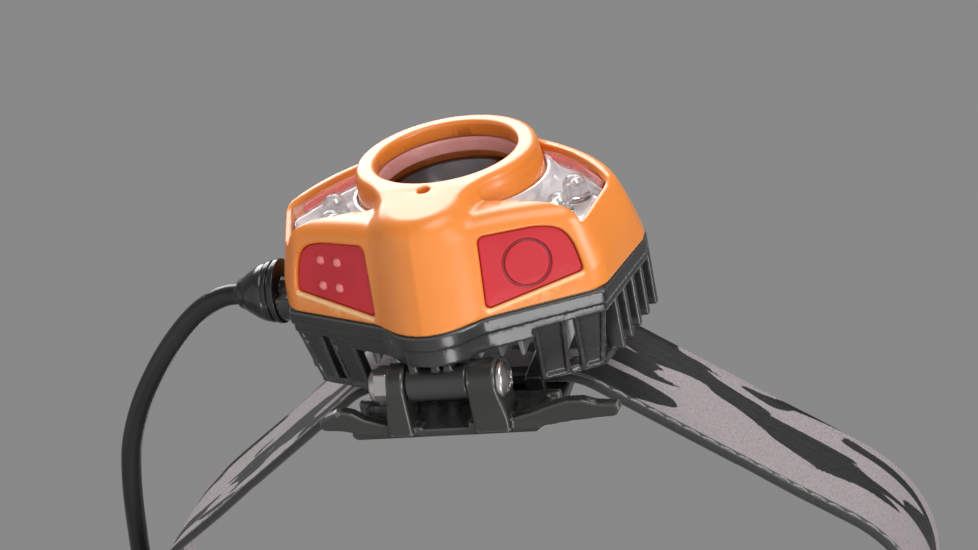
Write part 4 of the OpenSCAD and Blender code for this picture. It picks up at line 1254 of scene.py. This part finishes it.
def build_adjusters():
    inner, outer = LOOP_HALF - 0.35, LOOP_HALF + BAND_T + 0.35
    half = BAND_HALF + 0.35

    def frame_field(p):
        q = np.concatenate([p[..., :2], np.abs(p[..., 2:])], -1)
        made = box(q, (inner - 1.8, -17.5, half), (outer + 1.8, -2.5, half + 3), 1.0)
        for y0, y1, x0, x1 in ((-17.5, -14.5, outer, outer + 1.8), (-5.5, -2.5, outer, outer + 1.8),
                               (-11.5, -8.5, inner - 1.8, inner)):
            made = rmin(made, box(q, (x0, y0, -half - 1), (x1, y1, half + 1), 0.7), 0.5)
        for y in (-16.6, -16.0, -15.4, -4.6, -4.0, -3.4):
            made = most(made, 0.22 - np.hypot(q[..., 1] - y, q[..., 0] - outer - 1.85))
        return made

    low, high = (inner - 2.5, -18.2, -half - 3.7), (outer + 2.5, -1.8, half + 3.7)
    for side, name in SIDES:
        piece = solid(f"slide_adjuster_{name}", frame_field, low, high, 0.4, "clip", 0.6,
                      on_side(side, metres))
        stand_for(piece, f"adjuster_{name}", "clip_black", f"adjuster_{name}")


def build_clips():
    parts = []
    for y0 in (-37.0, 14.0):
        def clip(p, y0=y0):
            x, y, z = p[..., 0] + 94, p[..., 1], p[..., 2]
            ring = rmax(np.hypot(x, z) - 3.9, np.abs(y - y0 - 2.75) - 2.75, 0.5)
            base = box(p, (-92, y0, -6), (-89, y0 + 5.5, 6), 0.6)
            return most(rmin(ring, base, 0.8), 2.3 - np.hypot(x, z))
        points, quads = surface_nets(clip, (-98.5, y0 - 0.6, -6.8), (-88.4, y0 + 6.1, 6.8), 0.35)
        points = settle(clip, relax(settle(clip, points, 0.35), quads), 0.35)
        parts.append((metres(points), quads.tolist()))
    clips = join_meshes("cable_clip_pair", parts, "clip")
    stand_for(clips, "headband", "clip_black", "cable_clips")


def dress_frame():
    """Materials and softened edges for the CAD nodes that stay."""
    kept = {
        "housing_seal": "seal", "main_emitter": "emitter", "emitter_board": "board_white",
        "circuit_board": "board_green", "indicator_led": "indicator", "switch_left": "switch",
        "switch_right": "switch", "housing_screws": "steel", "board_screws": "steel",
        "pack_case": "pack", "pack_seal": "seal", "cell_1": "cell", "cell_2": "cell", "cell_3": "cell",
        "cell_4": "cell", "contact_plates": "nickel", "contact_springs": "nickel",
        "pack_gland": "black", "pack_boot": "cable", "pack_door": "pack", "door_pin": "steel",
        "door_screw": "steel"}
    for node, look in kept.items():
        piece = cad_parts[node]
        piece.data.materials.clear()
        piece.data.materials.append(MATERIALS[look])
        bevel = piece.modifiers.new("soft_edges", "BEVEL")
        bevel.width = 0.00025
        bevel.segments = 2
        bevel.limit_method = "ANGLE"
        bevel.angle_limit = math.radians(40)
        bevel.harden_normals = True


for build in (build_cable, build_shell, build_buttons, window_pieces, build_leds, build_lens,
              build_housing, build_heat_sink, build_bracket, build_pad, build_gland, build_strap,
              build_adjusters, build_clips, dress_frame):
    build()


# ---- floor and light ----
FLOOR_Z, WORLD_STRENGTH = -0.75, 0.31


def area_light(name, place, aim, size, power):
    data = bpy.data.lights.new(name, "AREA")
    data.shape = "RECTANGLE"
    data.size, data.size_y = size
    data.energy = power
    made = bpy.data.objects.new(name, data)
    made.location = place
    made.rotation_euler = (Vector(aim) - Vector(place)).to_track_quat("-Z", "Y").to_euler()
    bpy.context.scene.collection.objects.link(made)


def build_stage():
    points = [(x, y, FLOOR_Z) for x, y in ((-6, -6), (6, -6), (6, 6), (-6, 6))]
    floor = bpy.data.meshes.new("floor")
    floor.from_pydata(points, [], [(0, 1, 2, 3)])
    look = Look("floor_pale", Roughness=0.9)
    look.tint((3, 2), (0.78, 0.78, 0.77), (0.82, 0.82, 0.81))
    floor.materials.append(look.material)
    made = bpy.data.objects.new("floor", floor)
    bpy.context.scene.collection.objects.link(made)
    world = bpy.data.worlds.new("studio")
    world.use_nodes = True
    background = world.node_tree.nodes["Background"].inputs
    background["Color"].default_value = (0.80, 0.80, 0.80, 1)
    background["Strength"].default_value = WORLD_STRENGTH
    bpy.context.scene.world = world
    bpy.context.scene.view_settings.view_transform = "Standard"
    middle = (0, -0.12, 0)
    for name, place, aim, size, power in (
            ("overhead", (-0.22, -0.55, 0.62), middle, (0.9, 0.5), 9),
            ("key", (0.35, -0.85, -0.20), middle, (0.45, 0.45), 3.2),
            ("low_right", (0.88, -0.20, -0.38), (0.03, -0.10, 0), (0.3, 0.3), 4),
            ("under_right", (0.31, 0.18, -0.56), (0.03, -0.115, -0.02), (0.2, 0.2), 1.0),
            ("fill", (-0.8, -0.2, -0.4), middle, (0.8, 0.8), 0.8),
            ("rear", (0.2, 0.9, 0.5), (0, 0.1, 0), (0.9, 0.9), 5)):
        area_light(name, place, aim, size, power)


build_stage()
